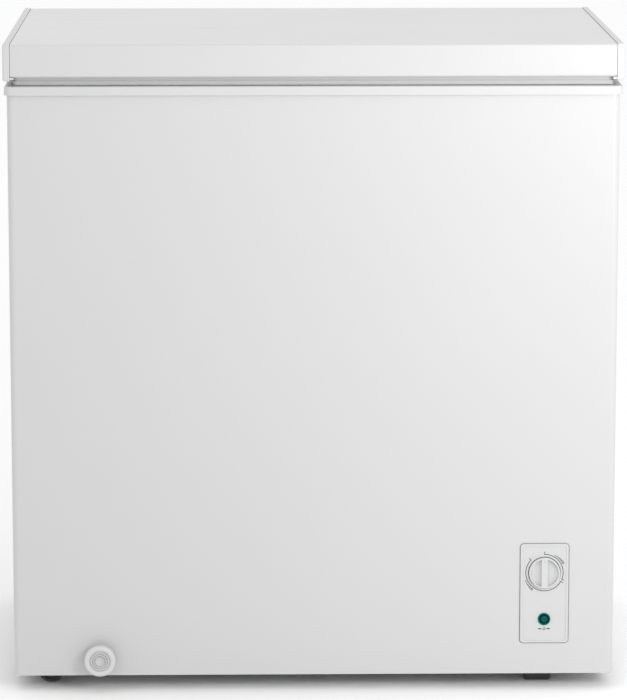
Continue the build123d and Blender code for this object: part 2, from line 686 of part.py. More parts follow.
with BuildPart() as control_panel:
    with BuildSketch(recess_face):
        RectangleRounded(PANEL_WIDTH, PANEL_HEIGHT, radius=PANEL_CORNER)
    extrude(amount=RECESS + PANEL_PROUD)
    fillet(control_panel.faces().sort_by(Axis.Y)[0].edges(), 0.8)
    with BuildSketch(panel_front_face):
        RectangleRounded(PANEL_WIDTH - 2 * BORDER, PANEL_HEIGHT - 2 * BORDER, radius=2.5)
    extrude(amount=-BORDER_HEIGHT, mode=Mode.SUBTRACT)
    # frame that plugs into the hole in the wrap
    with BuildSketch(recess_face):
        Rectangle(CUTOUT[0] - 2 * GAP, CUTOUT[1] - 2 * GAP)
        Rectangle(CUTOUT[0] - 4, CUTOUT[1] - 4, mode=Mode.SUBTRACT)
    extrude(amount=-10)
    # well that the knob turns in
    with BuildSketch(facing_front(PANEL_X, well_back + WELL_FLOOR, KNOB_Z)):
        Circle(well_radius + WELL_WALL)
    extrude(amount=well_back + WELL_FLOOR - BODY_FRONT)
    with BuildSketch(facing_front(PANEL_X, well_back, KNOB_Z)):
        Circle(well_radius)
    extrude(amount=well_back - PANEL_FRONT, mode=Mode.SUBTRACT)
    with BuildSketch(facing_front(PANEL_X, well_back, KNOB_Z)):
        Circle(SHAFT_RADIUS + 1)
    extrude(amount=-WELL_FLOOR, mode=Mode.SUBTRACT)
    with BuildSketch(panel_front_face):
        with Locations((0, LAMP_Z - PANEL_Z)):
            Circle(LENS_NECK + 0.3)
    extrude(amount=-RECESS - PANEL_PROUD, mode=Mode.SUBTRACT)
write(control_panel.part, "control_panel")

BAR_WIDTH = 7.8
KNOB_RIM = 2.0
SCOOP_DEPTH = 5.5
SHAFT_IN_KNOB = 10.0
POINTER = (1.2, 6.0)
knob_seat = facing_front(PANEL_X, KNOB_BACK, KNOB_Z)
knob_face = facing_front(PANEL_X, KNOB_FRONT, KNOB_Z)
scoop_half = (KNOB_RADIUS - KNOB_RIM - BAR_WIDTH / 2) / 2
scoop_radius = (scoop_half**2 + SCOOP_DEPTH**2) / (2 * SCOOP_DEPTH)
scoop_axis_y = KNOB_FRONT + SCOOP_DEPTH - scoop_radius

# Two hollows for the fingers, which leave an upright bar across the knob and a rim around it.
with BuildPart() as knob_scoops:
    with BuildSketch(Plane.XY.offset(KNOB_Z)):
        for side in SIDES:
            with Locations((PANEL_X + side * (BAR_WIDTH / 2 + scoop_half), scoop_axis_y)):
                Circle(scoop_radius)
    extrude(amount=KNOB_RADIUS, both=True)
    with BuildSketch(knob_face.offset(scoop_radius)):
        Circle(KNOB_RADIUS - KNOB_RIM)
    extrude(amount=-scoop_radius - KNOB_DEPTH, mode=Mode.INTERSECT)

with BuildPart() as thermostat_knob:
    with BuildSketch(knob_seat):
        Circle(KNOB_RADIUS)
    extrude(amount=KNOB_DEPTH)
    fillet(thermostat_knob.faces().sort_by(Axis.Y)[0].edges(), 0.8)
    add(knob_scoops.part, mode=Mode.SUBTRACT)
    with BuildSketch(knob_face):
        with Locations((0, KNOB_RADIUS - KNOB_RIM)):
            Rectangle(*POINTER, align=(Align.CENTER, Align.MAX))
    extrude(amount=-0.5, mode=Mode.SUBTRACT)
    with BuildSketch(knob_seat):
        Circle(SHAFT_RADIUS)
    extrude(amount=SHAFT_IN_KNOB, mode=Mode.SUBTRACT)
    # hollow back
    with BuildSketch(knob_seat):
        Circle(KNOB_RADIUS - KNOB_RIM)
        Circle(SHAFT_RADIUS + 3, mode=Mode.SUBTRACT)
    extrude(amount=5, mode=Mode.SUBTRACT)
write(thermostat_knob.part, "thermostat_knob")

THERMOSTAT = (40.0, 44.0, 28.0)
BUSHING_RADIUS = 6.0
SHAFT_PLAY = 0.06
SHAFT_INSIDE = 12.0  # how far the shaft reaches into the thermostat
thermostat_front = BODY_FRONT + 14
thermostat_face = facing_front(PANEL_X, thermostat_front, KNOB_Z)

with BuildPart() as thermostat_shaft:
    with BuildSketch(thermostat_face.offset(-SHAFT_INSIDE)):
        Circle(SHAFT_RADIUS)
    extrude(amount=thermostat_front + SHAFT_INSIDE - KNOB_BACK + SHAFT_IN_KNOB)
write(thermostat_shaft.part, "thermostat_shaft")

with BuildPart() as thermostat:
    with BuildSketch(thermostat_face):
        Rectangle(THERMOSTAT[0], THERMOSTAT[1])
    extrude(amount=-THERMOSTAT[2])
    with BuildSketch(thermostat_face):
        Circle(BUSHING_RADIUS)
    extrude(amount=thermostat_front - well_back - WELL_FLOOR)
    with BuildSketch(facing_front(PANEL_X, well_back + WELL_FLOOR, KNOB_Z)):
        Circle(SHAFT_RADIUS + SHAFT_PLAY)
    extrude(amount=-(thermostat_front - well_back - WELL_FLOOR) - SHAFT_INSIDE - 1, mode=Mode.SUBTRACT)
write(thermostat.part, "thermostat")

# The lens is turned: a neck in the panel, a collar on its face and a domed middle inside a groove.
LENS_LENGTH = 9.0
COLLAR = 2.4
lens_seat = PANEL_FRONT + BORDER_HEIGHT

with BuildPart() as lamp_lens:
    with BuildSketch(Plane(origin=(PANEL_X, 0, LAMP_Z), x_dir=(1, 0, 0), z_dir=(0, 0, 1))):
        with BuildLine():
            Polyline(
                (0, lens_seat + LENS_LENGTH),
                (LENS_NECK, lens_seat + LENS_LENGTH),
                (LENS_NECK, lens_seat),
                (LAMP_RADIUS, lens_seat),
                (LAMP_RADIUS, lens_seat - COLLAR + 0.8),
                (LAMP_RADIUS - 0.9, lens_seat - COLLAR),
                (6.2, lens_seat - COLLAR),
                (5.5, lens_seat - 1.0),
                (4.8, lens_seat - 1.0),
                (4.6, lens_seat - 3.0),
                (3.4, lens_seat - 3.6),
                (0, lens_seat - 3.9),
                close=True,
            )
        make_face()
    revolve(axis=Axis((PANEL_X, 0, LAMP_Z), (0, 1, 0)))
write(lamp_lens.part, "lamp_lens")

LAMP_HOLDER = (9.0, 18.0)  # radius and length
with BuildPart() as lamp_holder:
    with BuildSketch(facing_front(PANEL_X, lens_seat + LENS_LENGTH, LAMP_Z)):
        Circle(LAMP_HOLDER[0])
    extrude(amount=-LAMP_HOLDER[1])
write(lamp_holder.part, "lamp_holder")

LEAD_RADIUS = 2.5
LEAD_BEND = 8.0
LEAD_Z = 100.0
lead_start = thermostat_front + THERMOSTAT[2]
lead_route = [
    (PANEL_X, lead_start, KNOB_Z),
    (PANEL_X, lead_start + 32, KNOB_Z),
    (PANEL_X, lead_start + 32, LEAD_Z),
    (COMP_X, relay_y - RELAY[1] - 30, LEAD_Z),
    (COMP_X, relay_y - RELAY[1], LEAD_Z),
]
write(bent_tube(lead_route, LEAD_BEND, LEAD_RADIUS), "control_lead")

# ---- Drain --------------------------------------------------------------------------------------
DRAIN_OUTER = 10.0
DRAIN_BORE = 7.5
SPOUT_RADIUS = 7.2
SPOUT_WALL = 2.0
SPOUT_INSIDE = 72.0  # how far the pushed-in spout reaches behind the front
COLLAR_RADIUS = 17.0
CAP_BORE = 8.1
CAP_RINGS = ((12.4, 11.4), (9.4, 8.6), (6.9, 6.1))  # outer and inner radius of each groove
CAP_PLAY = 0.3
cap_back = CAP_FRONT + DRAIN_CAP_DEPTH
spout_nose = cap_back - CAP_BORE + 0.3
cap_face = facing_front(DRAIN_X, CAP_FRONT, DRAIN_Z)


def drain_elbow(radius, mouth, top):
    """A pipe's outside or bore: level from the front to the plug's place, then up to the tub's floor."""
    with BuildPart() as elbow:
        with BuildSketch(facing_front(DRAIN_X, DRAIN_PLUG_Y, DRAIN_Z)):
            Circle(radius)
        extrude(amount=DRAIN_PLUG_Y - mouth)
        with BuildSketch(Plane.XY.offset(DRAIN_Z)):
            with Locations((DRAIN_X, DRAIN_PLUG_Y)):
                Circle(radius)
        extrude(amount=top - DRAIN_Z)
        with Locations((DRAIN_X, DRAIN_PLUG_Y, DRAIN_Z)):
            Sphere(radius)
    return elbow.part


drain_outside = drain_elbow(DRAIN_OUTER, BODY_FRONT + SHEET + GAP, TUB_FLOOR - TUB_SHEET)
with BuildPart() as drain_pipe:
    add(drain_outside)
    add(drain_elbow(DRAIN_BORE, BODY_FRONT, TUB_FLOOR), mode=Mode.SUBTRACT)
write(drain_pipe.part, "drain_pipe")

with BuildPart() as drain_spout:
    with BuildSketch(facing_front(DRAIN_X, BODY_FRONT + SPOUT_INSIDE, DRAIN_Z)):
        Circle(SPOUT_RADIUS)
    extrude(amount=BODY_FRONT + SPOUT_INSIDE - spout_nose)
    # collar that stops the spout at the cabinet's front
    with BuildSketch(facing_front(DRAIN_X, BODY_FRONT - CAP_PLAY, DRAIN_Z)):
        Circle(COLLAR_RADIUS)
    extrude(amount=BODY_FRONT - 2 * CAP_PLAY - cap_back)
    with BuildSketch(facing_front(DRAIN_X, BODY_FRONT + SPOUT_INSIDE, DRAIN_Z)):
        Circle(SPOUT_RADIUS - SPOUT_WALL)
    extrude(amount=BODY_FRONT + SPOUT_INSIDE - spout_nose, mode=Mode.SUBTRACT)
    # water leaves through a slot underneath
    with BuildSketch(Plane.XY.offset(DRAIN_Z)):
        with Locations((DRAIN_X, BODY_FRONT + 14)):
            SlotOverall(16, 6, rotation=90)
    extrude(amount=-SPOUT_RADIUS - 1, mode=Mode.SUBTRACT)
write(drain_spout.part, "drain_spout")

with BuildPart() as drain_cap:
    with BuildSketch(cap_face.offset(-DRAIN_CAP_DEPTH)):
        Circle(DRAIN_CAP_RADIUS)
    extrude(amount=DRAIN_CAP_DEPTH)
    fillet(drain_cap.faces().sort_by(Axis.Y)[0].edges(), 2.5)
    # rings on the front
    for outer, inner in CAP_RINGS:
        with BuildSketch(cap_face):
            Circle(outer)
            Circle(inner, mode=Mode.SUBTRACT)
        extrude(amount=-0.9, mode=Mode.SUBTRACT)
    with BuildSketch(cap_face):
        Circle(4.4)
    extrude(amount=-2.2, mode=Mode.SUBTRACT)
    with BuildSketch(cap_face.offset(-DRAIN_CAP_DEPTH)):
        Circle(SPOUT_RADIUS + CAP_PLAY)
    extrude(amount=CAP_BORE, mode=Mode.SUBTRACT)
write(drain_cap.part, "drain_cap")

PLUG_RADIUS = 14.0
PLUG_DISC = 4.0
PLUG_GRIP = 9.0
PLUG_STEM = 14.0
plug_bottom = TUB_FLOOR + 0.3

with BuildPart() as drain_plug:
    with BuildSketch(Plane.XY.offset(plug_bottom)):
        with Locations((DRAIN_X, DRAIN_PLUG_Y)):
            Circle(PLUG_RADIUS)
    extrude(amount=PLUG_DISC)
    fillet(drain_plug.faces().sort_by(Axis.Z)[-1].edges(), 1.5)
    with BuildSketch(Plane.XY.offset(plug_bottom + PLUG_DISC)):
        with Locations((DRAIN_X, DRAIN_PLUG_Y)):
            SlotOverall(18, 4)
    extrude(amount=PLUG_GRIP)
    with BuildSketch(Plane.XY.offset(plug_bottom)):
        with Locations((DRAIN_X, DRAIN_PLUG_Y)):
            Circle(DRAIN_BORE - 0.3)
    extrude(amount=-PLUG_STEM)
write(drain_plug.part, "drain_plug")

# ---- Foam in the cabinet ------------------------------------------------------------------------
foam_plan = (BODY_WIDTH - 2 * SHEET - 2 * GAP, BODY_DEPTH - 3 * SHEET - 2 * GAP)

with BuildPart() as cabinet_foam:
    with BuildSketch(Plane.XY.offset(BODY_BOTTOM + SHEET + GAP)):
        with Locations((0, BODY_MIDDLE - SHEET / 2)):
            RectangleRounded(*foam_plan, radius=WRAP_CORNER - SHEET)
    extrude(amount=WRAP_TOP - BODY_BOTTOM - SHEET - 2 * GAP)
    add(tub_block(TUB_SHEET + GAP), mode=Mode.SUBTRACT)
    # room for the rim's inner wall and the tub's flange
    with BuildSketch(level(TUB_TOP - TUB_SHEET - GAP)):
        RectangleRounded(DROP_WALL[0] + 2 * GAP, DROP_WALL[1] + 2 * GAP, radius=DROP_CORNER)
    extrude(amount=50, mode=Mode.SUBTRACT)
    # compressor compartment with its bulkhead
    with BuildSketch(Plane.XY.offset(0)):
        with Locations((BAY_LEFT - SHEET - GAP, BODY_MIDDLE)):
            Rectangle(300, BODY_DEPTH + 10, align=(Align.MIN, Align.CENTER))
    extrude(amount=BAY_TOP + SHEET + GAP, mode=Mode.SUBTRACT)
    # pan flange, wheel housings and drain pipe
    add(base_pan.part, mode=Mode.SUBTRACT)
    with BuildSketch(Plane.XY.offset(0)):
        with Locations(*[(WHEEL_X, y) for y in WHEEL_Y]):
            Rectangle(HOUSING[0] + 2 * GAP, HOUSING[1] + 2 * GAP)
    extrude(amount=HOUSING_TOP + GAP, mode=Mode.SUBTRACT)
    add(drain_outside, mode=Mode.SUBTRACT)
    # the coils and the hinge screws are foamed in
    add(evaporator, mode=Mode.SUBTRACT)
    add(condenser, mode=Mode.SUBTRACT)
    add(screws(BRACKET_SCREWS, BODY_BACK + CHANNEL_STEEL), mode=Mode.SUBTRACT)
write(cabinet_foam.part, "cabinet_foam")

# ---- Basket -------------------------------------------------------------------------------------
BASKET_X = 222.0
BASKET_WIDTH = 204.0
BASKET_HANG = RIM_OPENING[1] - 8  # its top frame reaches both ledges
BASKET_BODY = TUB_DEPTH - 26
BASKET_BOTTOM = 606.0
ROD = 2.5
WIRE = 1.6
WELD = 0.5  # how far crossing wires sink into each other
frame_z = LEDGE_Z + 0.3 + ROD
half_width = BASKET_WIDTH / 2
half_body = BASKET_BODY / 2
frame_outside = (BASKET_WIDTH + 2 * ROD, BASKET_HANG)
frame_inside = (BASKET_WIDTH - 2 * ROD, BASKET_HANG - 4 * ROD)
CROSS_WIRES = 12
LONG_WIRES = 5
RING_HEIGHTS = (60.0, 120.0)  # wires round the basket, above its bottom
FRAME_CORNER = 16.0


def hoop(plane, half, top, bottom, radius):
    """One wire bent like a square U, drawn in plane and open at the top."""
    with BuildPart() as wire:
        with BuildLine(plane) as route:
            FilletPolyline((-half, top), (-half, bottom), (half, bottom), (half, top), radius=14)
        with BuildSketch(Plane(origin=route.line @ 0, z_dir=route.line % 0)):
            Circle(radius)
        sweep()
    return wire.part


with BuildPart() as storage_basket:
    with BuildSketch(Plane.XY.offset(frame_z)):
        with Locations((BASKET_X, BODY_MIDDLE)):
            RectangleRounded(*frame_outside, radius=FRAME_CORNER)
            RectangleRounded(*frame_inside, radius=FRAME_CORNER - 2 * ROD, mode=Mode.SUBTRACT)
            with GridLocations(0, BASKET_BODY, 1, 2):
                Rectangle(BASKET_WIDTH, 2 * ROD)
    extrude(amount=ROD, both=True)
    for number in range(CROSS_WIRES):
        y = BODY_MIDDLE + (number / (CROSS_WIRES - 1) - 0.5) * (BASKET_BODY - 40)
        across = Plane(origin=(BASKET_X, y, 0), x_dir=(1, 0, 0), z_dir=(0, -1, 0))
        add(hoop(across, half_width - WIRE + WELD, frame_z, BASKET_BOTTOM, WIRE))
    for number in range(LONG_WIRES):
        x = BASKET_X + (number / (LONG_WIRES - 1) - 0.5) * (BASKET_WIDTH - 50)
        along = Plane(origin=(x, BODY_MIDDLE, 0), x_dir=(0, 1, 0), z_dir=(1, 0, 0))
        add(hoop(along, half_body, frame_z, BASKET_BOTTOM - 2 * WIRE + WELD, WIRE))
    for height in RING_HEIGHTS:
        with BuildSketch(Plane.XY.offset(BASKET_BOTTOM + height)):
            with Locations((BASKET_X, BODY_MIDDLE)):
                Rectangle(BASKET_WIDTH + 4 * WIRE - 2 * WELD, BASKET_BODY + 4 * WIRE - 2 * WELD)
                Rectangle(BASKET_WIDTH, BASKET_BODY + 2 * WIRE - 2 * WELD, mode=Mode.SUBTRACT)
        extrude(amount=WIRE, both=True)
write(storage_basket.part, "storage_basket")

# ---- Lid ----------------------------------------------------------------------------------------
panel_front = LID_FRONT + CAP_PROUD
panel_back = LID_BACK - CAP_PROUD
panel_top = HEIGHT - CAP_PROUD
panel_half = LID_WIDTH / 2 - CAP_WIDTH - SEAM
HEM = 14.0  # the sheet is folded back this far under the lid's front and back

with BuildPart() as lid_panel:
    with BuildSketch(Plane.YZ):
        with BuildLine():
            inset = SHEET / 2
            front, back = panel_front + inset, panel_back - inset
            top, bottom = panel_top - inset, SKIRT_BOTTOM + inset
            FilletPolyline(
                (front + HEM, bottom),
                (front, bottom),
                (front, top),
                (back, top),
                (back, bottom),
                (back - HEM, bottom),
                radius=3,
            )
        trace(line_width=SHEET)
    extrude(amount=panel_half, both=True)
    with BuildSketch(facing_front(0, LID_BACK, 0)):
        with Locations(*LEAF_SCREWS):
            Circle(SCREW_HOLE)
    extrude(amount=10, mode=Mode.SUBTRACT)
write(lid_panel.part, "lid_panel")

CAP_WALL = 2.0
TONGUE = 12.0
GRIP_LIP = 5.0
CAP_ROUND = 2.5
for side, hand in ((-1, "left"), (1, "right")):
    outer = side * LID_WIDTH / 2
    inner = side * (LID_WIDTH / 2 - CAP_WIDTH)
    cap_plane = Plane(origin=(inner, 0, 0), x_dir=(0, 1, 0), z_dir=(1, 0, 0))
    middle_z = (HEIGHT + CAP_BOTTOM) / 2
    cap_height = HEIGHT - CAP_BOTTOM
    with BuildPart() as lid_cap:
        with BuildSketch(cap_plane):
            with Locations((0, middle_z)):
                RectangleRounded(LID_DEPTH, cap_height, radius=CAP_ROUND)
        extrude(amount=side * CAP_WIDTH)
        fillet(lid_cap.faces().sort_by(Axis.X)[-1 if side > 0 else 0].edges(), CAP_ROUND)
        with BuildSketch(cap_plane):
            with Locations((0, middle_z)):
                Rectangle(LID_DEPTH - 2 * CAP_WALL, cap_height - 2 * CAP_WALL)
        extrude(amount=side * (CAP_WIDTH - CAP_WALL), mode=Mode.SUBTRACT)
        # tongue that holds the edge of the sheet
        tongue_top, tongue_bottom = panel_top - SHEET - GAP, SKIRT_BOTTOM + SHEET + GAP
        tongue = (panel_back - panel_front - 2 * SHEET - 2 * GAP, tongue_top - tongue_bottom)
        with BuildSketch(cap_plane.offset(side * CAP_WALL)):
            with Locations((0, (tongue_top + tongue_bottom) / 2)):
                RectangleRounded(*tongue, radius=3)
                Rectangle(tongue[0] - 2 * CAP_WALL, tongue[1] - 2 * CAP_WALL, mode=Mode.SUBTRACT)
        extrude(amount=-side * (TONGUE + CAP_WALL))
        # lip under the sheet at the front corner, the end of the finger grip
        with BuildSketch(Plane.XY.offset(CAP_BOTTOM + CAP_WALL)):
            with Locations((inner + side, LID_FRONT + 1)):
                Rectangle(GRIP_LIP + 1, 10, align=(Align.MAX if side > 0 else Align.MIN, Align.MIN))
        extrude(amount=SKIRT_BOTTOM - CAP_BOTTOM - CAP_WALL)
    write(lid_cap.part, f"lid_cap_{hand}")

pan_opening = (2 * TUB_HALF + 4, TUB_DEPTH + 14)
LINER_SHEET = 1.5
pan_inner = (pan_opening[0] - 2 * LINER_SHEET, pan_opening[1] - 2 * LINER_SHEET)
gasket_outer = (RIM_SIZE[0] - 2 * GASKET_INSET, RIM_SIZE[1] - 2 * GASKET_INSET)
gasket_inner = (gasket_outer[0] - 2 * GASKET_WIDTH, gasket_outer[1] - 2 * GASKET_WIDTH)
GASKET_PLAY = 0.3  # above the rim
FOLD_Z = 6.0  # the gasket's soft fold, above the rim
FOLD_HEIGHT = 1.6
FOLD_DEPTH = 1.5

PAN_CORNER = 24.0
GASKET_CORNER = 6.0

with BuildPart() as lid_liner:
    with BuildSketch(level(LID_PAN_Z)):
        RectangleRounded(*pan_opening, radius=PAN_CORNER)
    extrude(amount=LID_FLANGE_Z + LINER_SHEET - LID_PAN_Z, taper=-20)
    fillet(lid_liner.faces().sort_by(Axis.Z)[0].edges(), 3)
    with BuildSketch(level(LID_FLANGE_Z)):
        RectangleRounded(gasket_outer[0] + 2, gasket_outer[1] + 2, radius=GASKET_CORNER)
    extrude(amount=LINER_SHEET)
    with BuildSketch(level(LID_PAN_Z + LINER_SHEET)):
        RectangleRounded(*pan_inner, radius=PAN_CORNER - 2)
    extrude(amount=20, mode=Mode.SUBTRACT)
write(lid_liner.part, "lid_liner")

with BuildPart() as lid_gasket:
    with BuildSketch(level(RIM_TOP + GASKET_PLAY)):
        RectangleRounded(*gasket_outer, radius=GASKET_CORNER)
        RectangleRounded(*gasket_inner, radius=GASKET_CORNER / 2, mode=Mode.SUBTRACT)
    extrude(amount=LID_FLANGE_Z - RIM_TOP - GASKET_PLAY)
    fillet(lid_gasket.faces().sort_by(Axis.Z)[0].edges(), 1.5)
    # soft fold round the outside
    with BuildSketch(level(RIM_TOP + FOLD_Z)):
        RectangleRounded(gasket_outer[0] + 10, gasket_outer[1] + 10, radius=GASKET_CORNER)
        RectangleRounded(
            gasket_outer[0] - 2 * FOLD_DEPTH,
            gasket_outer[1] - 2 * FOLD_DEPTH,
            radius=GASKET_CORNER - FOLD_DEPTH,
            mode=Mode.SUBTRACT,
        )
    extrude(amount=FOLD_HEIGHT, mode=Mode.SUBTRACT)
write(lid_gasket.part, "lid_gasket")

with BuildPart() as lid_foam:
    with BuildSketch(Plane.XY.offset(SKIRT_BOTTOM + SHEET + GAP)):
        Rectangle(2 * (panel_half - TONGUE), panel_back - panel_front - 2 * SHEET - 2 * GAP)
    extrude(amount=panel_top - SKIRT_BOTTOM - 2 * SHEET - 2 * GAP)
    fillet(lid_foam.edges().filter_by(Axis.X), 3)
    with BuildSketch(level(LID_PAN_Z + LINER_SHEET + GAP)):
        RectangleRounded(pan_opening[0] - 4, pan_opening[1] - 4, radius=21)
    extrude(amount=SKIRT_BOTTOM + SHEET + GAP - LID_PAN_Z - LINER_SHEET - GAP)
    add(screws(LEAF_SCREWS, panel_back + CHANNEL_STEEL), mode=Mode.SUBTRACT)
write(lid_foam.part, "lid_foam")

# ---- Spring hinges ------------------------------------------------------------------------------
FLANGE_TOP = 780.0
BOSS_RADIUS = 5.3
EAR_INNER = 9.0
EAR_OUTER = 11.0
LEAF_HALF = 22.0
PIN_PLAY = 0.05
NOSE_RADIUS = 2.0
SEAT = (15.0, 8.0)  # the plunger's block over the spring: depth and height
SEAT_TOP = 7.0  # from the middle of the nose down to the block
GUIDE_LENGTH = 30.0
SPRING_TURNS = 10


def side_view(x):
    """A plane seen from the right side, with its origin on the hinge pin, Y to the right and Z up."""
    return Plane(origin=(x, PIN_Y, PIN_Z), x_dir=(0, 1, 0), z_dir=(1, 0, 0))


def cam_point(share):
    """A point of the cam, from straight under the pin (share 0) to the last that meets the plunger (1)."""
    angle = radians(OPEN_ANGLE * share)
    reach = CAM_RADIUS - CAM_RISE * share
    return (reach * sin(angle), -reach * cos(angle))


for hinge_x, hand in zip(HINGE_X, ("left", "right")):
    with BuildPart() as bracket:
        web_front = HINGE_BACK - CHANNEL_STEEL
        with BuildSketch(facing_front(hinge_x, HINGE_BACK, 0)):
            with Locations((0, CHANNEL_BOTTOM)):
                Rectangle(2 * CHANNEL_HALF, PIN_Z - 2 - CHANNEL_BOTTOM, align=(Align.CENTER, Align.MIN))
        extrude(amount=CHANNEL_STEEL)
        for side in SIDES:
            with BuildSketch(side_view(hinge_x + side * CHANNEL_HALF)):
                with BuildLine():
                    Polyline(
                        (HINGE_BACK - PIN_Y, CHANNEL_BOTTOM - PIN_Z),
                        (HINGE_BACK - PIN_Y, -2),
                        (BOSS_RADIUS, 0),
                        (-BOSS_RADIUS, 0),
                        (-BOSS_RADIUS, -20),
                        (BODY_BACK - PIN_Y, -28),
                        (BODY_BACK - PIN_Y, CHANNEL_BOTTOM - PIN_Z),
                        close=True,
                    )
                make_face()
                Circle(BOSS_RADIUS)
                Circle(PIN_RADIUS, mode=Mode.SUBTRACT)
            extrude(amount=-side * CHANNEL_STEEL)
            flange_x = hinge_x + side * CHANNEL_HALF
            with BuildSketch(facing_front(flange_x, BODY_BACK + CHANNEL_STEEL, CHANNEL_BOTTOM)):
                Rectangle(
                    FLANGE_WIDTH,
                    FLANGE_TOP - CHANNEL_BOTTOM,
                    align=(Align.MIN if side > 0 else Align.MAX, Align.MIN),
                )
            extrude(amount=CHANNEL_STEEL)
        # floor that carries the spring
        with BuildSketch(Plane.XY.offset(CHANNEL_BOTTOM)):
            with Locations((hinge_x, (BODY_BACK + HINGE_BACK) / 2)):
                Rectangle(2 * CHANNEL_HALF, HINGE_BACK - BODY_BACK)
        extrude(amount=CHANNEL_STEEL)
        with BuildSketch(facing_front(0, HINGE_BACK, 0)):
            with Locations(*BRACKET_SCREWS):
                Circle(SCREW_HOLE)
        extrude(amount=40, mode=Mode.SUBTRACT)
    write(bracket.part, f"hinge_bracket_{hand}")

    with BuildPart() as leaf:
        with BuildSketch(facing_front(0, panel_back + CHANNEL_STEEL, 0)):
            with Locations((hinge_x, LEAF_BOTTOM)):
                Rectangle(2 * LEAF_HALF, LEAF_TOP - LEAF_BOTTOM, align=(Align.CENTER, Align.MIN))
            with Locations(*LEAF_SCREWS):
                Circle(SCREW_HOLE, mode=Mode.SUBTRACT)
        extrude(amount=CHANNEL_STEEL)
        plate_front = panel_back - PIN_Y
        plate_back = plate_front + CHANNEL_STEEL
        low_reach = CAM_RADIUS - CAM_RISE
        heel_angle = radians(OPEN_ANGLE + 65)
        heel = (low_reach * sin(heel_angle), -low_reach * cos(heel_angle))
        mid_angle = radians(OPEN_ANGLE + 32)
        heel_middle = (low_reach * sin(mid_angle), -low_reach * cos(mid_angle))
        for side in SIDES:
            with BuildSketch(side_view(hinge_x + side * EAR_INNER)):
                with BuildLine():
                    Polyline(
                        heel,
                        (plate_back, LEAF_TOP - PIN_Z - 8),
                        (plate_front, LEAF_TOP - PIN_Z - 8),
                        (plate_front, -9),
                        (0, -CAM_RADIUS),
                    )
                    Spline(*[cam_point(n / 8) for n in range(9)])
                    ThreePointArc(cam_point(1), heel_middle, heel)
                make_face()
                Circle(PIN_RADIUS + PIN_PLAY, mode=Mode.SUBTRACT)
            extrude(amount=side * (EAR_OUTER - EAR_INNER))
    write(leaf.part, f"hinge_leaf_{hand}")

    with BuildPart() as hinge_pin:
        with BuildSketch(side_view(hinge_x)):
            Circle(PIN_RADIUS)
        extrude(amount=CHANNEL_HALF + 2, both=True)
    write(hinge_pin.part, f"hinge_pin_{hand}")

    nose_z = PIN_Z - CAM_RADIUS - CAM_GAP - NOSE_RADIUS
    seat_bottom = nose_z - SEAT_TOP - SEAT[1]
    with BuildPart() as plunger:
        with BuildSketch(side_view(hinge_x)):
            with Locations((0, nose_z - PIN_Z)):
                Circle(NOSE_RADIUS)
                Rectangle(2 * NOSE_RADIUS, SEAT_TOP + 3, align=(Align.CENTER, Align.MAX))
            with Locations((0, nose_z - PIN_Z - SEAT_TOP)):
                Rectangle(*SEAT, align=(Align.CENTER, Align.MAX))
        extrude(amount=CHANNEL_HALF - CHANNEL_STEEL - 1, both=True)
        with BuildSketch(Plane.XY.offset(seat_bottom)):
            with Locations((hinge_x, PIN_Y)):
                Circle(SPRING_RADIUS - SPRING_WIRE - 1)
        extrude(amount=-GUIDE_LENGTH)
    write(plunger.part, f"hinge_plunger_{hand}")

    spring_bottom = CHANNEL_BOTTOM + CHANNEL_STEEL + SPRING_WIRE + 0.1
    spring_height = seat_bottom - SPRING_WIRE - 0.1 - spring_bottom
    with BuildPart() as spring:
        with BuildLine() as coil:
            Helix(
                pitch=spring_height / SPRING_TURNS,
                height=spring_height,
                radius=SPRING_RADIUS,
                center=(hinge_x, PIN_Y, spring_bottom),
            )
        with BuildSketch(Plane(origin=coil.line @ 0, z_dir=coil.line % 0)):
            Circle(SPRING_WIRE)
        sweep(is_frenet=True)
    write(spring.part, f"hinge_spring_{hand}")

write(screws(BRACKET_SCREWS, BODY_BACK + CHANNEL_STEEL), "hinge_bracket_screws")
write(screws(LEAF_SCREWS, panel_back + CHANNEL_STEEL), "hinge_leaf_screws")

print(len(made), "pieces")
for name, part in made.items():
    box = part.bounding_box()
    print(f"{name:24s} {part.volume:12.0f} mm3  low {box.min}  high {box.max}")
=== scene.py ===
# %% [markdown]
# # A chest freezer, finished in Blender
#
# The freezer arrives as a finished engineering model: every sheet, moulding and screw is already in place,
# in metres, with the floor at z = 0 and the front facing -Y. This lesson adds what engineering leaves out:
# the paint, the plastics, the printed dial, the coloured lamp, the light and the camera.
#
# We load that model first. Its parts are a fixed frame: none is moved or reshaped.

# %% Load the frame
import math

import bmesh
import bpy
from mathutils import Matrix, Vector


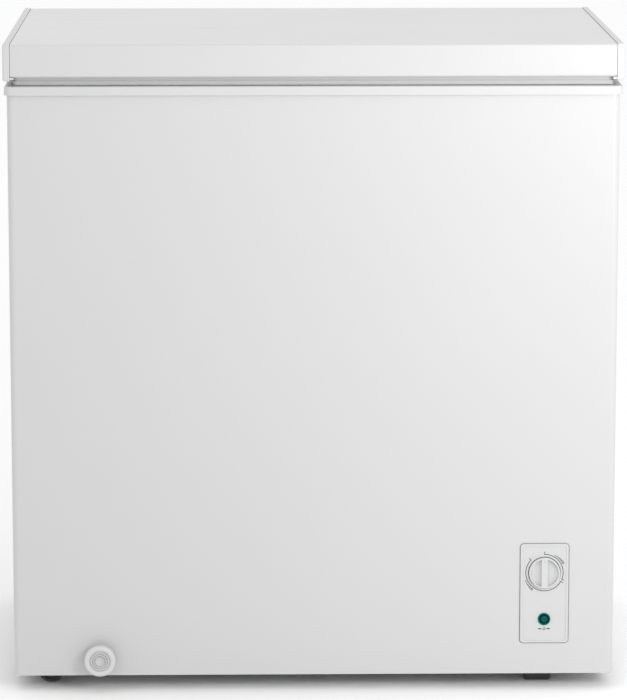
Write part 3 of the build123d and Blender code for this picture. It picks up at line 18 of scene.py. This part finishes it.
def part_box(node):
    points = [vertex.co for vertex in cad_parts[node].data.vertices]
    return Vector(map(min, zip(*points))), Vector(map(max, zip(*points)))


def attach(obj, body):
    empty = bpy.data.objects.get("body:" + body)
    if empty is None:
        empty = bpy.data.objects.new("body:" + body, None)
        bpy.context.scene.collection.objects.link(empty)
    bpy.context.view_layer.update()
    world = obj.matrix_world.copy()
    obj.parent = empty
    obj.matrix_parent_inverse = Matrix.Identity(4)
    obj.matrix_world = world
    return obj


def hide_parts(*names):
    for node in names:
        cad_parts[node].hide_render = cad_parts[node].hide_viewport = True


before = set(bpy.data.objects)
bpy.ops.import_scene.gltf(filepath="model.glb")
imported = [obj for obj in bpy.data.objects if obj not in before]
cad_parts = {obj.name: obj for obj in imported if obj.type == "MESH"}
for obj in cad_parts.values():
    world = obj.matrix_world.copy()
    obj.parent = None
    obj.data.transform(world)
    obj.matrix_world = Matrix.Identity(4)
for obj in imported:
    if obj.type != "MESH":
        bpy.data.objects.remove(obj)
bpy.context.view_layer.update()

# %% [markdown]
# ## Shader maths as ordinary Python
#
# A Blender material is a graph of nodes. Wiring every sum and product by hand hides the idea, so we wrap an
# output socket in a small class. Python's own operators then add the Math nodes: `1 - stain * 0.2` makes
# two of them. The reflected forms, such as `__rsub__`, let a plain number stand on the left.


# %% A socket that does arithmetic
class Signal:
    """One number that changes over a surface: an output socket with Python's operators."""

    def __init__(self, finish, socket):
        self.finish = finish
        self.socket = socket

    def calculate(self, operation, first, second):
        return self.finish.node("ShaderNodeMath", {"operation": operation}, {0: first, 1: second})

    def __add__(self, other):
        return self.calculate("ADD", self, other)

    def __sub__(self, other):
        return self.calculate("SUBTRACT", self, other)

    def __rsub__(self, other):
        return self.calculate("SUBTRACT", other, self)

    def __mul__(self, other):
        return self.calculate("MULTIPLY", self, other)

    __radd__ = __add__
    __rmul__ = __mul__


# %% [markdown]
# ## A finish: one material with a maker's name
#
# `Finish` holds the material and its Principled shader. Constant values, such as the coat on a paint, are
# set straight on the shader's sockets. `node` adds any other node: its type, its settings, then what its
# sockets take, either a value or a Signal. `where` is the position on the piece in metres, so a pattern has
# its real size: a noise of scale 500 has lumps of about 2 mm.


# %% The finish class
class Finish:
    """A material with a Principled shader, built node by node."""

    def __init__(self, name, colour, roughness, **constants):
        self.material = bpy.data.materials.new(name)
        self.material.use_nodes = True
        self.tree = self.material.node_tree
        self.shader = self.tree.nodes["Principled BSDF"]
        self.shader.inputs["Base Color"].default_value = (*colour, 1)
        self.shader.inputs["Roughness"].default_value = roughness
        for socket, value in constants.items():
            self.shader.inputs[socket.replace("_", " ")].default_value = value
        self.where = self.node("ShaderNodeTexCoord", output="Object")

    def node(self, kind, settings=None, sockets=None, output=0):
        made = self.tree.nodes.new(kind)
        for name, value in (settings or {}).items():
            setattr(made, name, value)
        for name, value in (sockets or {}).items():
            if isinstance(value, Signal):
                self.tree.links.new(value.socket, made.inputs[name])
            else:
                made.inputs[name].default_value = value
        return Signal(self, made.outputs[output])

    def noise(self, scale, detail=2.0, stretch=(1, 1, 1)):
        """Soft lumps between 0 and 1, about 1 / scale metres across."""
        place = self.node("ShaderNodeMapping", sockets={"Vector": self.where, "Scale": stretch})
        return self.node("ShaderNodeTexNoise", sockets={"Vector": place, "Scale": scale, "Detail": detail})

    def mix(self, share, low, high):
        """A colour between two colours."""
        sockets = {0: share, 6: (*low, 1) if isinstance(low, tuple) else low, 7: (*high, 1)}
        return self.node("ShaderNodeMix", {"data_type": "RGBA"}, sockets, output=2)

    def feed(self, socket, signal):
        self.tree.links.new(signal.socket, self.shader.inputs[socket])

    def relief(self, height, depth):
        """Raises the surface by up to depth metres where height is 1."""
        self.feed("Normal", self.node("ShaderNodeBump", sockets={"Height": height, "Distance": depth}))


def tint(colour, share):
    """The same colour, lighter or darker by a share."""
    return tuple(min(1.0, part * (1 + share)) for part in colour)


# %% [markdown]
# ## White painted steel
#
# The cabinet wrap, the lid's sheet, the back and the grille are thin steel with a baked satin paint. Paint
# on sheet is never a mirror: it dries with a faint orange peel, lumps of 2 to 4 mm that are only microns
# high. One flat white would look like plastic foam, so we give it a slow drift in tone as well, a
# roughness that varies where hands and cloths have been, and a thin clear coat that carries the highlights.


# %% Satin paint
PAINT_WHITE = (0.55, 0.55, 0.55)


def satin_paint(name, colour, roughness):
    paint = Finish(name, colour, roughness, Coat_Weight=0.35, Coat_Roughness=0.22, Specular_IOR_Level=0.45)
    drift = paint.noise(2.2, 3.0)
    paint.feed("Base Color", paint.mix(drift, tint(colour, -0.015), tint(colour, 0.015)))
    paint.feed("Roughness", roughness + (paint.noise(9.0, 4.0) - 0.5) * 0.10)
    paint.relief(paint.noise(420.0, 1.0) + paint.noise(95.0, 1.0) * 0.6, 0.00003)
    return paint.material


cabinet_paint = satin_paint("cabinet_paint", PAINT_WHITE, 0.38)
lid_paint = satin_paint("lid_paint", tint(PAINT_WHITE, 0.01), 0.34)
back_paint = satin_paint("back_paint", tint(PAINT_WHITE, -0.04), 0.5)
print("paints:", cabinet_paint.name, lid_paint.name, back_paint.name)

# %% [markdown]
# ## White mouldings
#
# The rim, the lid's end caps, the control panel, the knob and the drain cap are injection-moulded. Their
# tool is polished or lightly spark-eroded, which leaves a very fine even grain, much finer than orange
# peel. Plastic also lets a little light in under its skin, so edges look softer than on steel: that is the
# subsurface weight, kept small because the mouldings are thick and full of white pigment.


# %% Moulded plastics
def moulded_plastic(name, colour, roughness, grain=0.00001, grain_scale=1800.0, **constants):
    plastic = Finish(name, colour, roughness, **constants)
    drift = plastic.noise(14.0, 2.0)
    plastic.feed("Base Color", plastic.mix(drift, tint(colour, -0.012), tint(colour, 0.012)))
    plastic.feed("Roughness", roughness + (plastic.noise(30.0, 3.0) - 0.5) * 0.08)
    plastic.relief(plastic.noise(grain_scale, 2.0), grain)
    return plastic.material


MOULDING_WHITE = (0.56, 0.56, 0.56)
SKIN = {"Subsurface_Weight": 0.05, "Subsurface_Scale": 0.002}
rim_moulding = moulded_plastic("rim_moulding", MOULDING_WHITE, 0.32, **SKIN)
cap_moulding = moulded_plastic("lid_cap_moulding", tint(MOULDING_WHITE, 0.01), 0.36, **SKIN)
PANEL_WHITE = (0.555, 0.555, 0.555)
panel_moulding = moulded_plastic("panel_moulding", PANEL_WHITE, 0.42, grain=0.00002, grain_scale=1200.0, **SKIN)
knob_moulding = moulded_plastic("knob_moulding", MOULDING_WHITE, 0.30, **SKIN)
DRAIN_WHITE = (0.585, 0.585, 0.585)
drain_moulding = moulded_plastic("drain_moulding", DRAIN_WHITE, 0.45, grain=0.00002, **SKIN)
LINER_WHITE = (0.60, 0.605, 0.605)
liner_sheet = moulded_plastic("liner_sheet", LINER_WHITE, 0.34, grain=0.00002, grain_scale=260.0)

BLACK = (0.045, 0.045, 0.047)
black_moulding = moulded_plastic("black_moulding", BLACK, 0.48, grain=0.00005, grain_scale=900.0)
case_moulding = moulded_plastic("case_moulding", (0.045, 0.045, 0.05), 0.5, grain=0.00004, grain_scale=1000.0)
print("mouldings:", len([m for m in bpy.data.materials if "moulding" in m.name]))

# %% [markdown]
# ## Soft vinyl for the gasket
#
# The lid closes on a hollow vinyl gasket with a magnet inside. Vinyl is matt, picks up a little dust in its
# folds and shows faint ripples along its length where it was pulled through the die.


# %% Vinyl and rubber
def soft_vinyl(name, colour, roughness):
    vinyl = Finish(name, colour, roughness, Sheen_Weight=0.15)
    dust = vinyl.noise(60.0, 4.0)
    vinyl.feed("Base Color", vinyl.mix(dust, tint(colour, -0.05), tint(colour, 0.04)))
    vinyl.feed("Roughness", roughness + (dust - 0.5) * 0.15)
    vinyl.relief(vinyl.noise(300.0, 1.0, stretch=(0.1, 0.1, 4)) + vinyl.noise(1500.0) * 0.3, 0.00005)
    return vinyl.material


gasket_vinyl = soft_vinyl("gasket_vinyl", (0.50, 0.50, 0.50), 0.62)
plug_rubber = soft_vinyl("plug_rubber", (0.45, 0.45, 0.44), 0.6)
black_rubber = soft_vinyl("black_rubber", (0.02, 0.02, 0.02), 0.7)
print("soft parts:", gasket_vinyl.name, plug_rubber.name, black_rubber.name)

# %% [markdown]
# ## Metals
#
# Brackets, bolts and the hinge parts are zinc plated: a cold grey with a faint bluish and yellowish bloom
# and fine rolling lines. The tub is aluminium sheet with a stucco emboss, a pebble pattern that hides dents:
# Voronoi cells of about 6 mm make it. Copper tube darkens in patches. All of them vary in roughness, because
# an even roughness is what gives away a computer picture of metal.


# %% Zinc, stucco aluminium, copper, iron
def plated_steel(name, colour, roughness):
    steel = Finish(name, colour, roughness, Metallic=1.0)
    bloom = steel.noise(35.0, 3.0)
    yellowish = (colour[0] * 1.06, colour[1] * 1.05, colour[2])
    steel.feed("Base Color", steel.mix(bloom, tint(colour, -0.12), yellowish))
    steel.feed("Roughness", roughness + (steel.noise(120.0, 4.0) - 0.5) * 0.25)
    steel.relief(steel.noise(700.0, 2.0, stretch=(1, 1, 0.05)), 0.00001)
    return steel.material


def stucco_sheet(name, colour, roughness):
    sheet = Finish(name, colour, roughness, Metallic=0.85, Coat_Weight=0.3, Coat_Roughness=0.2)
    cells = {"Vector": sheet.where, "Scale": 170.0}
    pebbles = sheet.node("ShaderNodeTexVoronoi", {"feature": "SMOOTH_F1"}, cells)
    sheet.feed("Base Color", sheet.mix(sheet.noise(5.0, 3.0), tint(colour, -0.04), tint(colour, 0.04)))
    sheet.feed("Roughness", roughness + pebbles * 0.12)
    sheet.relief(1 - pebbles, 0.0004)
    return sheet.material


zinc_plate = plated_steel("zinc_plate", (0.56, 0.57, 0.58), 0.38)
copper_tube = plated_steel("copper_tube", (0.72, 0.36, 0.22), 0.34)
pump_iron = plated_steel("pump_iron", (0.28, 0.28, 0.29), 0.5)
tub_stucco = stucco_sheet("tub_stucco", (0.84, 0.85, 0.86), 0.34)
print("metals:", zinc_plate.name, copper_tube.name, pump_iron.name, tub_stucco.name)


# %% [markdown]
# ## Enamel, foam and dipped wire
#
# The compressor is black enamelled, with runs and thick edges. The insulation is poured foam: pale yellow,
# full of fine bubbles. The basket is steel wire dipped in white plastic, which stays glossy and slightly
# lumpy.


# %% Enamel, foam, dip
def poured_foam(name, colour):
    foam = Finish(name, colour, 0.85)
    bubbles = foam.node("ShaderNodeTexVoronoi", sockets={"Vector": foam.where, "Scale": 900.0})
    foam.feed("Base Color", foam.mix(foam.noise(18.0, 4.0), tint(colour, -0.12), tint(colour, 0.06)))
    foam.feed("Roughness", 0.78 + bubbles * 0.15)
    foam.relief(bubbles, 0.0004)
    return foam.material


compressor_enamel = satin_paint("compressor_enamel", (0.02, 0.02, 0.022), 0.3)
basket_dip = satin_paint("basket_dip", (0.76, 0.77, 0.77), 0.25)
insulation = poured_foam("insulation", (0.78, 0.66, 0.36))
print("others:", compressor_enamel.name, basket_dip.name, insulation.name)

# %% [markdown]
# ## Which part gets which finish
#
# The parts of the frame already have the right shape, so most of them only need a better material. The
# table reads like a parts list. A name that ends in a star stands for all parts that start that way.

# %% Hand out the finishes
FINISHES = {
    "outer_wrap": cabinet_paint,
    "lid_panel": lid_paint,
    "back_panel": back_paint,
    "rear_grille": back_paint,
    "cabinet_rim": rim_moulding,
    "lid_cap_*": cap_moulding,
    "control_panel": panel_moulding,
    "thermostat_knob": knob_moulding,
    "drain_cap": drain_moulding,
    "drain_spout": drain_moulding,
    "drain_pipe": drain_moulding,
    "drain_plug": plug_rubber,
    "inner_tub": tub_stucco,
    "lid_liner": liner_sheet,
    "lid_gasket": gasket_vinyl,
    "wheel_axles": zinc_plate,
    "wheel_*": black_moulding,
    "foot_*": black_moulding,
    "relay_box": case_moulding,
    "thermostat*": case_moulding,
    "lamp_holder": case_moulding,
    "lamp_lens": case_moulding,
    "hinge_plunger_*": case_moulding,
    "control_lead": black_rubber,
    "cord_gland": black_rubber,
    "compressor_grommets": black_rubber,
    "compressor_shell": compressor_enamel,
    "compressor_pump": pump_iron,
    "condenser_coil": zinc_plate,
    "*_tube": copper_tube,
    "evaporator_coil": copper_tube,
    "filter_drier": copper_tube,
    "*_foam": insulation,
    "storage_basket": basket_dip,
    "*": zinc_plate,
}


def matches(name, pattern):
    if "*" not in pattern:
        return name == pattern
    start, end = pattern.split("*")
    return name.startswith(start) and name.endswith(end)


for name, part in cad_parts.items():
    finish = next(FINISHES[pattern] for pattern in FINISHES if matches(name, pattern))
    for slot in part.material_slots:
        slot.material = finish
print("finished parts:", len(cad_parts))

# %% [markdown]
# ## Adding a piece of our own
#
# A new piece is modelled with bmesh operators, in metres and already in its place, so its object stays at
# the origin. `add_piece` turns the bmesh into an object, gives it its finishes and lets it ride on a body of
# the freezer, such as the lid or the knob.


# %% Turn a bmesh into a piece
def add_piece(name, mesh_data, finishes, body, smooth_angle=35):
    bmesh.ops.remove_doubles(mesh_data, verts=mesh_data.verts, dist=0.000001)
    bmesh.ops.recalc_face_normals(mesh_data, faces=mesh_data.faces)
    mesh = bpy.data.meshes.new(name)
    mesh_data.to_mesh(mesh)
    mesh_data.free()
    piece = bpy.data.objects.new(name, mesh)
    bpy.context.scene.collection.objects.link(piece)
    for finish in finishes:
        mesh.materials.append(finish)
    mesh.shade_smooth()
    mesh.set_sharp_from_angle(angle=math.radians(smooth_angle))
    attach(piece, body)
    print(name, len(mesh.polygons), "faces")
    return piece


def facing_front(place):
    """Turns a shape that was made lying on the floor, looking up, so that it faces the user at place."""
    return Matrix.Translation(place) @ Matrix.Rotation(math.radians(90), 4, "X")


def turned(points, segments=64):
    """A solid of revolution about Z from (radius, height) points, as on a lathe."""
    lathe = bmesh.new()
    verts = [lathe.verts.new((radius, 0, height)) for radius, height in points]
    edges = [lathe.edges.new(pair) for pair in zip(verts, verts[1:])]
    once_round = {"cent": (0, 0, 0), "axis": (0, 0, 1), "angle": math.tau}
    bmesh.ops.spin(lathe, geom=verts + edges, steps=segments, use_merge=True, **once_round)
    return lathe


# %% [markdown]
# ## The pilot lamp
#
# The lamp is a small press-in jewel: a teal collar, a groove, and in the middle a moulded cap with facets
# that scatter the light of the bulb. The groove's darkness is painted shade: a near-black disc lies at its
# floor.
# Turning it on a lathe with only a few steps gives the facets for free, so the collar is turned finely and
# the centre coarsely.


# %% Jewel lamp
def lamp_glass(name, colour, roughness, glow):
    glass = Finish(name, colour, roughness, IOR=1.49, Specular_IOR_Level=0.05)
    swirl = glass.noise(700.0, 2.0)
    glass.feed("Base Color", glass.mix(swirl, tint(colour, -0.25), tint(colour, 0.25)))
    glass.feed("Roughness", roughness + swirl * 0.06)
    glass.shader.inputs["Emission Color"].default_value = (*colour, 1)
    glass.shader.inputs["Emission Strength"].default_value = glow
    return glass.material


collar_teal = lamp_glass("lamp_collar_teal", (0.001, 0.080, 0.074), 0.35, 0.2)
jewel_teal = lamp_glass("lamp_jewel_teal", (0.001, 0.072, 0.066), 0.3, 0.3)
# painted shade: this near-black colour stands in for the shade inside the groove between collar and jewel
groove_painted_shade = lamp_glass("lamp_groove_painted_shade", (0.001, 0.004, 0.005), 0.5, 0.0)
MM = 0.001


def place_of(node):
    """The middle of a node's box."""
    low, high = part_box(node)
    return (low + high) / 2


lens_low, lens_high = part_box("lamp_lens")
lens_place = Vector((place_of("lamp_lens").x, lens_high.y, place_of("lamp_lens").z))
depth = (lens_high.y - lens_low.y) / MM  # from the back of the barrel to the jewel's tip
BARREL = 6.3
BARREL_BORE = 5.9
FLANGE = 8.1
JEWEL = 4.9
barrel = [(BARREL_BORE, 0), (BARREL, 0), (BARREL, depth - 3.9), (FLANGE, depth - 3.9), (FLANGE, depth - 2.6)]
bezel = [(7.7, depth - 2.0), (7.0, depth - 1.8), (6.4, depth - 2.1), (6.1, depth - 3.0)]
bezel += [(BARREL_BORE, depth - 3.2), (BARREL_BORE, 0)]
# painted shade: a near-black disc at the floor of the groove between the collar and the jewel
groove_shade_disc = [(0, depth - 3.8), (6.0, depth - 3.8), (6.0, depth - 3.0), (0, depth - 3.0)]
facets = [(0, depth - 3.3), (JEWEL, depth - 3.3), (4.6, depth - 1.4), (3.4, depth - 0.4)]
facets += [(1.4, depth), (0, depth)]
FACETED = 5  # degrees: nearly every edge stays sharp
SMOOTH = 35
for name, points, finish, steps, smooth_angle in (
    ("lamp_collar", barrel + bezel, collar_teal, 64, SMOOTH),
    ("lamp_groove", groove_shade_disc, groove_painted_shade, 48, SMOOTH),
    ("lamp_jewel", facets, jewel_teal, 12, FACETED),
):
    shape = turned([(radius * MM, height * MM) for radius, height in points], steps)
    shape.transform(facing_front(lens_place))
    lamp_piece = add_piece(name, shape, [finish], "cabinet", smooth_angle)
    if name == "lamp_collar":
        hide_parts("lamp_lens")

# %% [markdown]
# ## The drain cap
#
# The cap at the lower left is turned by hand to let meltwater out. Its face carries soft concentric ridges,
# like a record. On the lathe they are a few more points of the profile: crest, valley, crest. The back of
# the cap is flat with a bore for its spout.

# %% Ridged cap
cap_low, cap_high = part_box("drain_cap")
cap_place = Vector((place_of("drain_cap").x, cap_high.y, place_of("drain_cap").z))
cap_depth = (cap_high.y - cap_low.y) / MM
CAP_RADIUS = 20.5
CAP_BORE = 7.5
BORE_DEPTH = 8.1
CAP_EDGE = 3  # radius of the rounded front edge
RING_CRESTS = (12.4, 9.4, 6.6)
VALLEY = 2.6
cap_points = [(0, BORE_DEPTH), (CAP_BORE, BORE_DEPTH), (CAP_BORE, 0)]
cap_points += [(CAP_RADIUS - 0.6, 0), (CAP_RADIUS, 0.6)]
for step in range(7):
    angle = math.radians(15 * step)
    reach = CAP_RADIUS - CAP_EDGE + CAP_EDGE * math.cos(angle)
    cap_points.append((reach, cap_depth - CAP_EDGE + CAP_EDGE * math.sin(angle)))
cap_points += [(15.0, cap_depth), (14.4, cap_depth - 0.3)]
for crest in RING_CRESTS:
    cap_points += [(crest + 0.6, cap_depth - VALLEY), (crest - 0.2, cap_depth - VALLEY)]
    cap_points += [(crest - 0.8, cap_depth - 0.3), (crest - 1.1, cap_depth), (crest - 1.5, cap_depth - 0.2)]
cap_points += [(4.6, cap_depth - 0.8), (4.1, cap_depth - 2.4), (1.4, cap_depth - 2.6), (1.2, cap_depth - 1.6)]
cap_points += [(0, cap_depth - 1.5)]
cap_shape = turned([(radius * MM, height * MM) for radius, height in cap_points], 96)
cap_shape.transform(facing_front(cap_place))
cap_piece = add_piece("ridged_cap", cap_shape, [drain_moulding], "cap", 50)
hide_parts("drain_cap")

# %% [markdown]
# ## The printed dial
#
# Round the knob the panel carries a thin printed scale: two arcs with end ticks, and two groups of bars that
# grow to show which way is colder. Ink has almost no thickness, but a face without a back vanishes in some
# programs. So each mark is a flat strip that is extruded to a thin closed body: most of it stands over the
# panel, and its foot is sunk in. An arc is an edge that is spun about the knob's centre.


# %% Ink and its strips
def printed_ink(name, colour):
    ink = Finish(name, colour, 0.55)
    ink.feed("Base Color", ink.mix(ink.noise(900.0, 3.0), tint(colour, -0.2), tint(colour, 0.25)))
    ink.feed("Roughness", 0.5 + ink.noise(400.0) * 0.15)
    ink.relief(ink.noise(1500.0), 0.00001)
    return ink.material


dial_ink = printed_ink("dial_ink", (0.05, 0.05, 0.052))
INK_LIFT = 0.05 * MM
INK_SUNK = 0.03 * MM


def ink_arc(sheet, radius, width, start, end):
    """A strip round the centre. Angles are in degrees, clockwise from the top."""
    corners = []
    for reach in (radius - width / 2, radius + width / 2):
        angle = math.radians(start)
        corners.append(sheet.verts.new((reach * math.sin(angle), reach * math.cos(angle), 0)))
    edge = sheet.edges.new(corners)
    steps = max(1, round((end - start) / 3))
    sweep = -math.radians(end - start)
    bmesh.ops.spin(sheet, geom=corners + [edge], cent=(0, 0, 0), axis=(0, 0, 1), angle=sweep, steps=steps)


def ink_tick(sheet, angle, inner, outer, width):
    """A straight mark that points away from the centre."""
    mark = bmesh.ops.create_grid(sheet, x_segments=1, y_segments=1, size=0.5)["verts"]
    bmesh.ops.scale(sheet, vec=(width, outer - inner, 1), verts=mark)
    bmesh.ops.translate(sheet, vec=(0, (inner + outer) / 2, 0), verts=mark)
    bmesh.ops.rotate(sheet, cent=(0, 0, 0), matrix=Matrix.Rotation(-math.radians(angle), 3, "Z"), verts=mark)


def ink_body(sheet, middle):
    """Gives the flat strips their thickness and lays them on the panel's face, round the middle."""
    raised = bmesh.ops.extrude_face_region(sheet, geom=sheet.faces[:])["geom"]
    corners = [part for part in raised if isinstance(part, bmesh.types.BMVert)]
    bmesh.ops.translate(sheet, vec=(0, 0, INK_LIFT + INK_SUNK), verts=corners)
    sheet.transform(facing_front(Vector((middle.x, panel_face + INK_SUNK, middle.z))))


panel_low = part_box("control_panel")[0]
BORDER_HEIGHT = 0.6 * MM  # the panel's raised border stands this far over its face
panel_face = panel_low.y + BORDER_HEIGHT
knob_place = place_of("thermostat_knob")
dial = bmesh.new()
LINE = 0.95 * MM
ARC_RADIUS = 24.5 * MM
BAR_FOOT = 26.2 * MM
BARS = 9
BAR_STEP = 4  # degrees from one bar to the next
for start, end in ((0, 112), (119, 314)):
    ink_arc(dial, ARC_RADIUS, LINE, start, end)
    for angle in (start, end):
        ink_tick(dial, angle, 24.2 * MM, 28.0 * MM, LINE)
for first, direction in ((31, 1), (247, -1)):
    for number in range(BARS):
        length = (1.0 + 0.25 * number) * MM
        ink_tick(dial, first + direction * number * BAR_STEP, BAR_FOOT, BAR_FOOT + length, 1.2 * MM)
ink_body(dial, knob_place)
add_piece("dial_print", dial, [dial_ink], "cabinet")

# %% [markdown]
# ## The mark under the lamp
#
# Under the lamp sits a small mark for power: a ring that is open at the top with a stroke in the gap, and a
# dash on either side. It needs no words in any language.

# %% Power mark
mark = bmesh.new()
ink_arc(mark, 1.5 * MM, 0.8 * MM, 40, 320)
ink_tick(mark, 0, 0.5 * MM, 2.3 * MM, 0.8 * MM)
for side in (-1, 1):
    ink_tick(mark, 90 * side, 3.4 * MM, 7.7 * MM, 1.5 * MM)
MARK_DROP = 13.1 * MM  # from the lamp's middle down to the mark's
ink_body(mark, lens_place - Vector((0, 0, MARK_DROP)))
add_piece("power_mark", mark, [dial_ink], "cabinet")

# %% [markdown]
# ## Floor and light
#
# A white object on a white floor lives from its shading. A soft key stands near the upper right, so the
# front grows darker towards the lower left, and a white sky gives the rest. The key's spread is narrowed, so
# that it lights the cabinet more than the floor. The floor is nearly white, and the feet still throw a soft
# shadow.

# %% Studio
floor = bmesh.new()
bmesh.ops.create_circle(floor, cap_ends=True, radius=60.0, segments=96)
floor_mesh = bpy.data.meshes.new("studio_floor")
floor.to_mesh(floor_mesh)
floor.free()
studio_floor = bpy.data.objects.new("studio_floor", floor_mesh)
bpy.context.scene.collection.objects.link(studio_floor)
studio_paper = Finish("studio_paper", (0.97, 0.97, 0.97), 0.9)
studio_paper.feed("Roughness", 0.85 + studio_paper.noise(3.0) * 0.1)
floor_mesh.materials.append(studio_paper.material)


def soft_box(name, place, target, size, power, spread):
    """A large square lamp at place that shines on target."""
    lamp = bpy.data.lights.new(name, "AREA")
    lamp.shape = "SQUARE"
    lamp.size = size
    lamp.energy = power
    lamp.spread = math.radians(spread)
    stand = bpy.data.objects.new(name, lamp)
    stand.location = place
    stand.rotation_euler = (Vector(target) - Vector(place)).to_track_quat("-Z", "Y").to_euler()
    bpy.context.scene.collection.objects.link(stand)
    print(name, "at", place, "power", power)


soft_box("key_light", (1.0, -1.9, 1.05), (0.7, -0.26, 1.0), 0.6, 9.5, 110)
sky = bpy.data.worlds.new("studio_sky")
bpy.context.scene.world = sky
sky.use_nodes = True
sky.node_tree.nodes["Background"].inputs["Color"].default_value = (1, 1, 1, 1)
sky.node_tree.nodes["Background"].inputs["Strength"].default_value = 1.0
bpy.context.scene.view_settings.view_transform = "Standard"

# %% [markdown]
# ## Camera
#
# The freezer is seen from the front, from a little above the lid, by a long lens five metres away. The long
# lens keeps the cabinet's sides nearly parallel. The angles are in degrees: how far the camera looks down,
# and how far it is turned to the side.

# %% Camera
camera = bpy.data.cameras.new("product_camera")
camera.sensor_width = 36
camera.lens = 199.4
camera.clip_end = 100
LOOK_DOWN = 10.07
TURN = -1.06
stand = bpy.data.objects.new("product_camera", camera)
stand.location = (-0.0919, -5.200, 1.330)
stand.rotation_euler = (math.radians(90 - LOOK_DOWN), 0, math.radians(TURN))
bpy.context.scene.collection.objects.link(stand)
bpy.context.scene.camera = stand
print("camera at", tuple(round(v, 3) for v in stand.location))
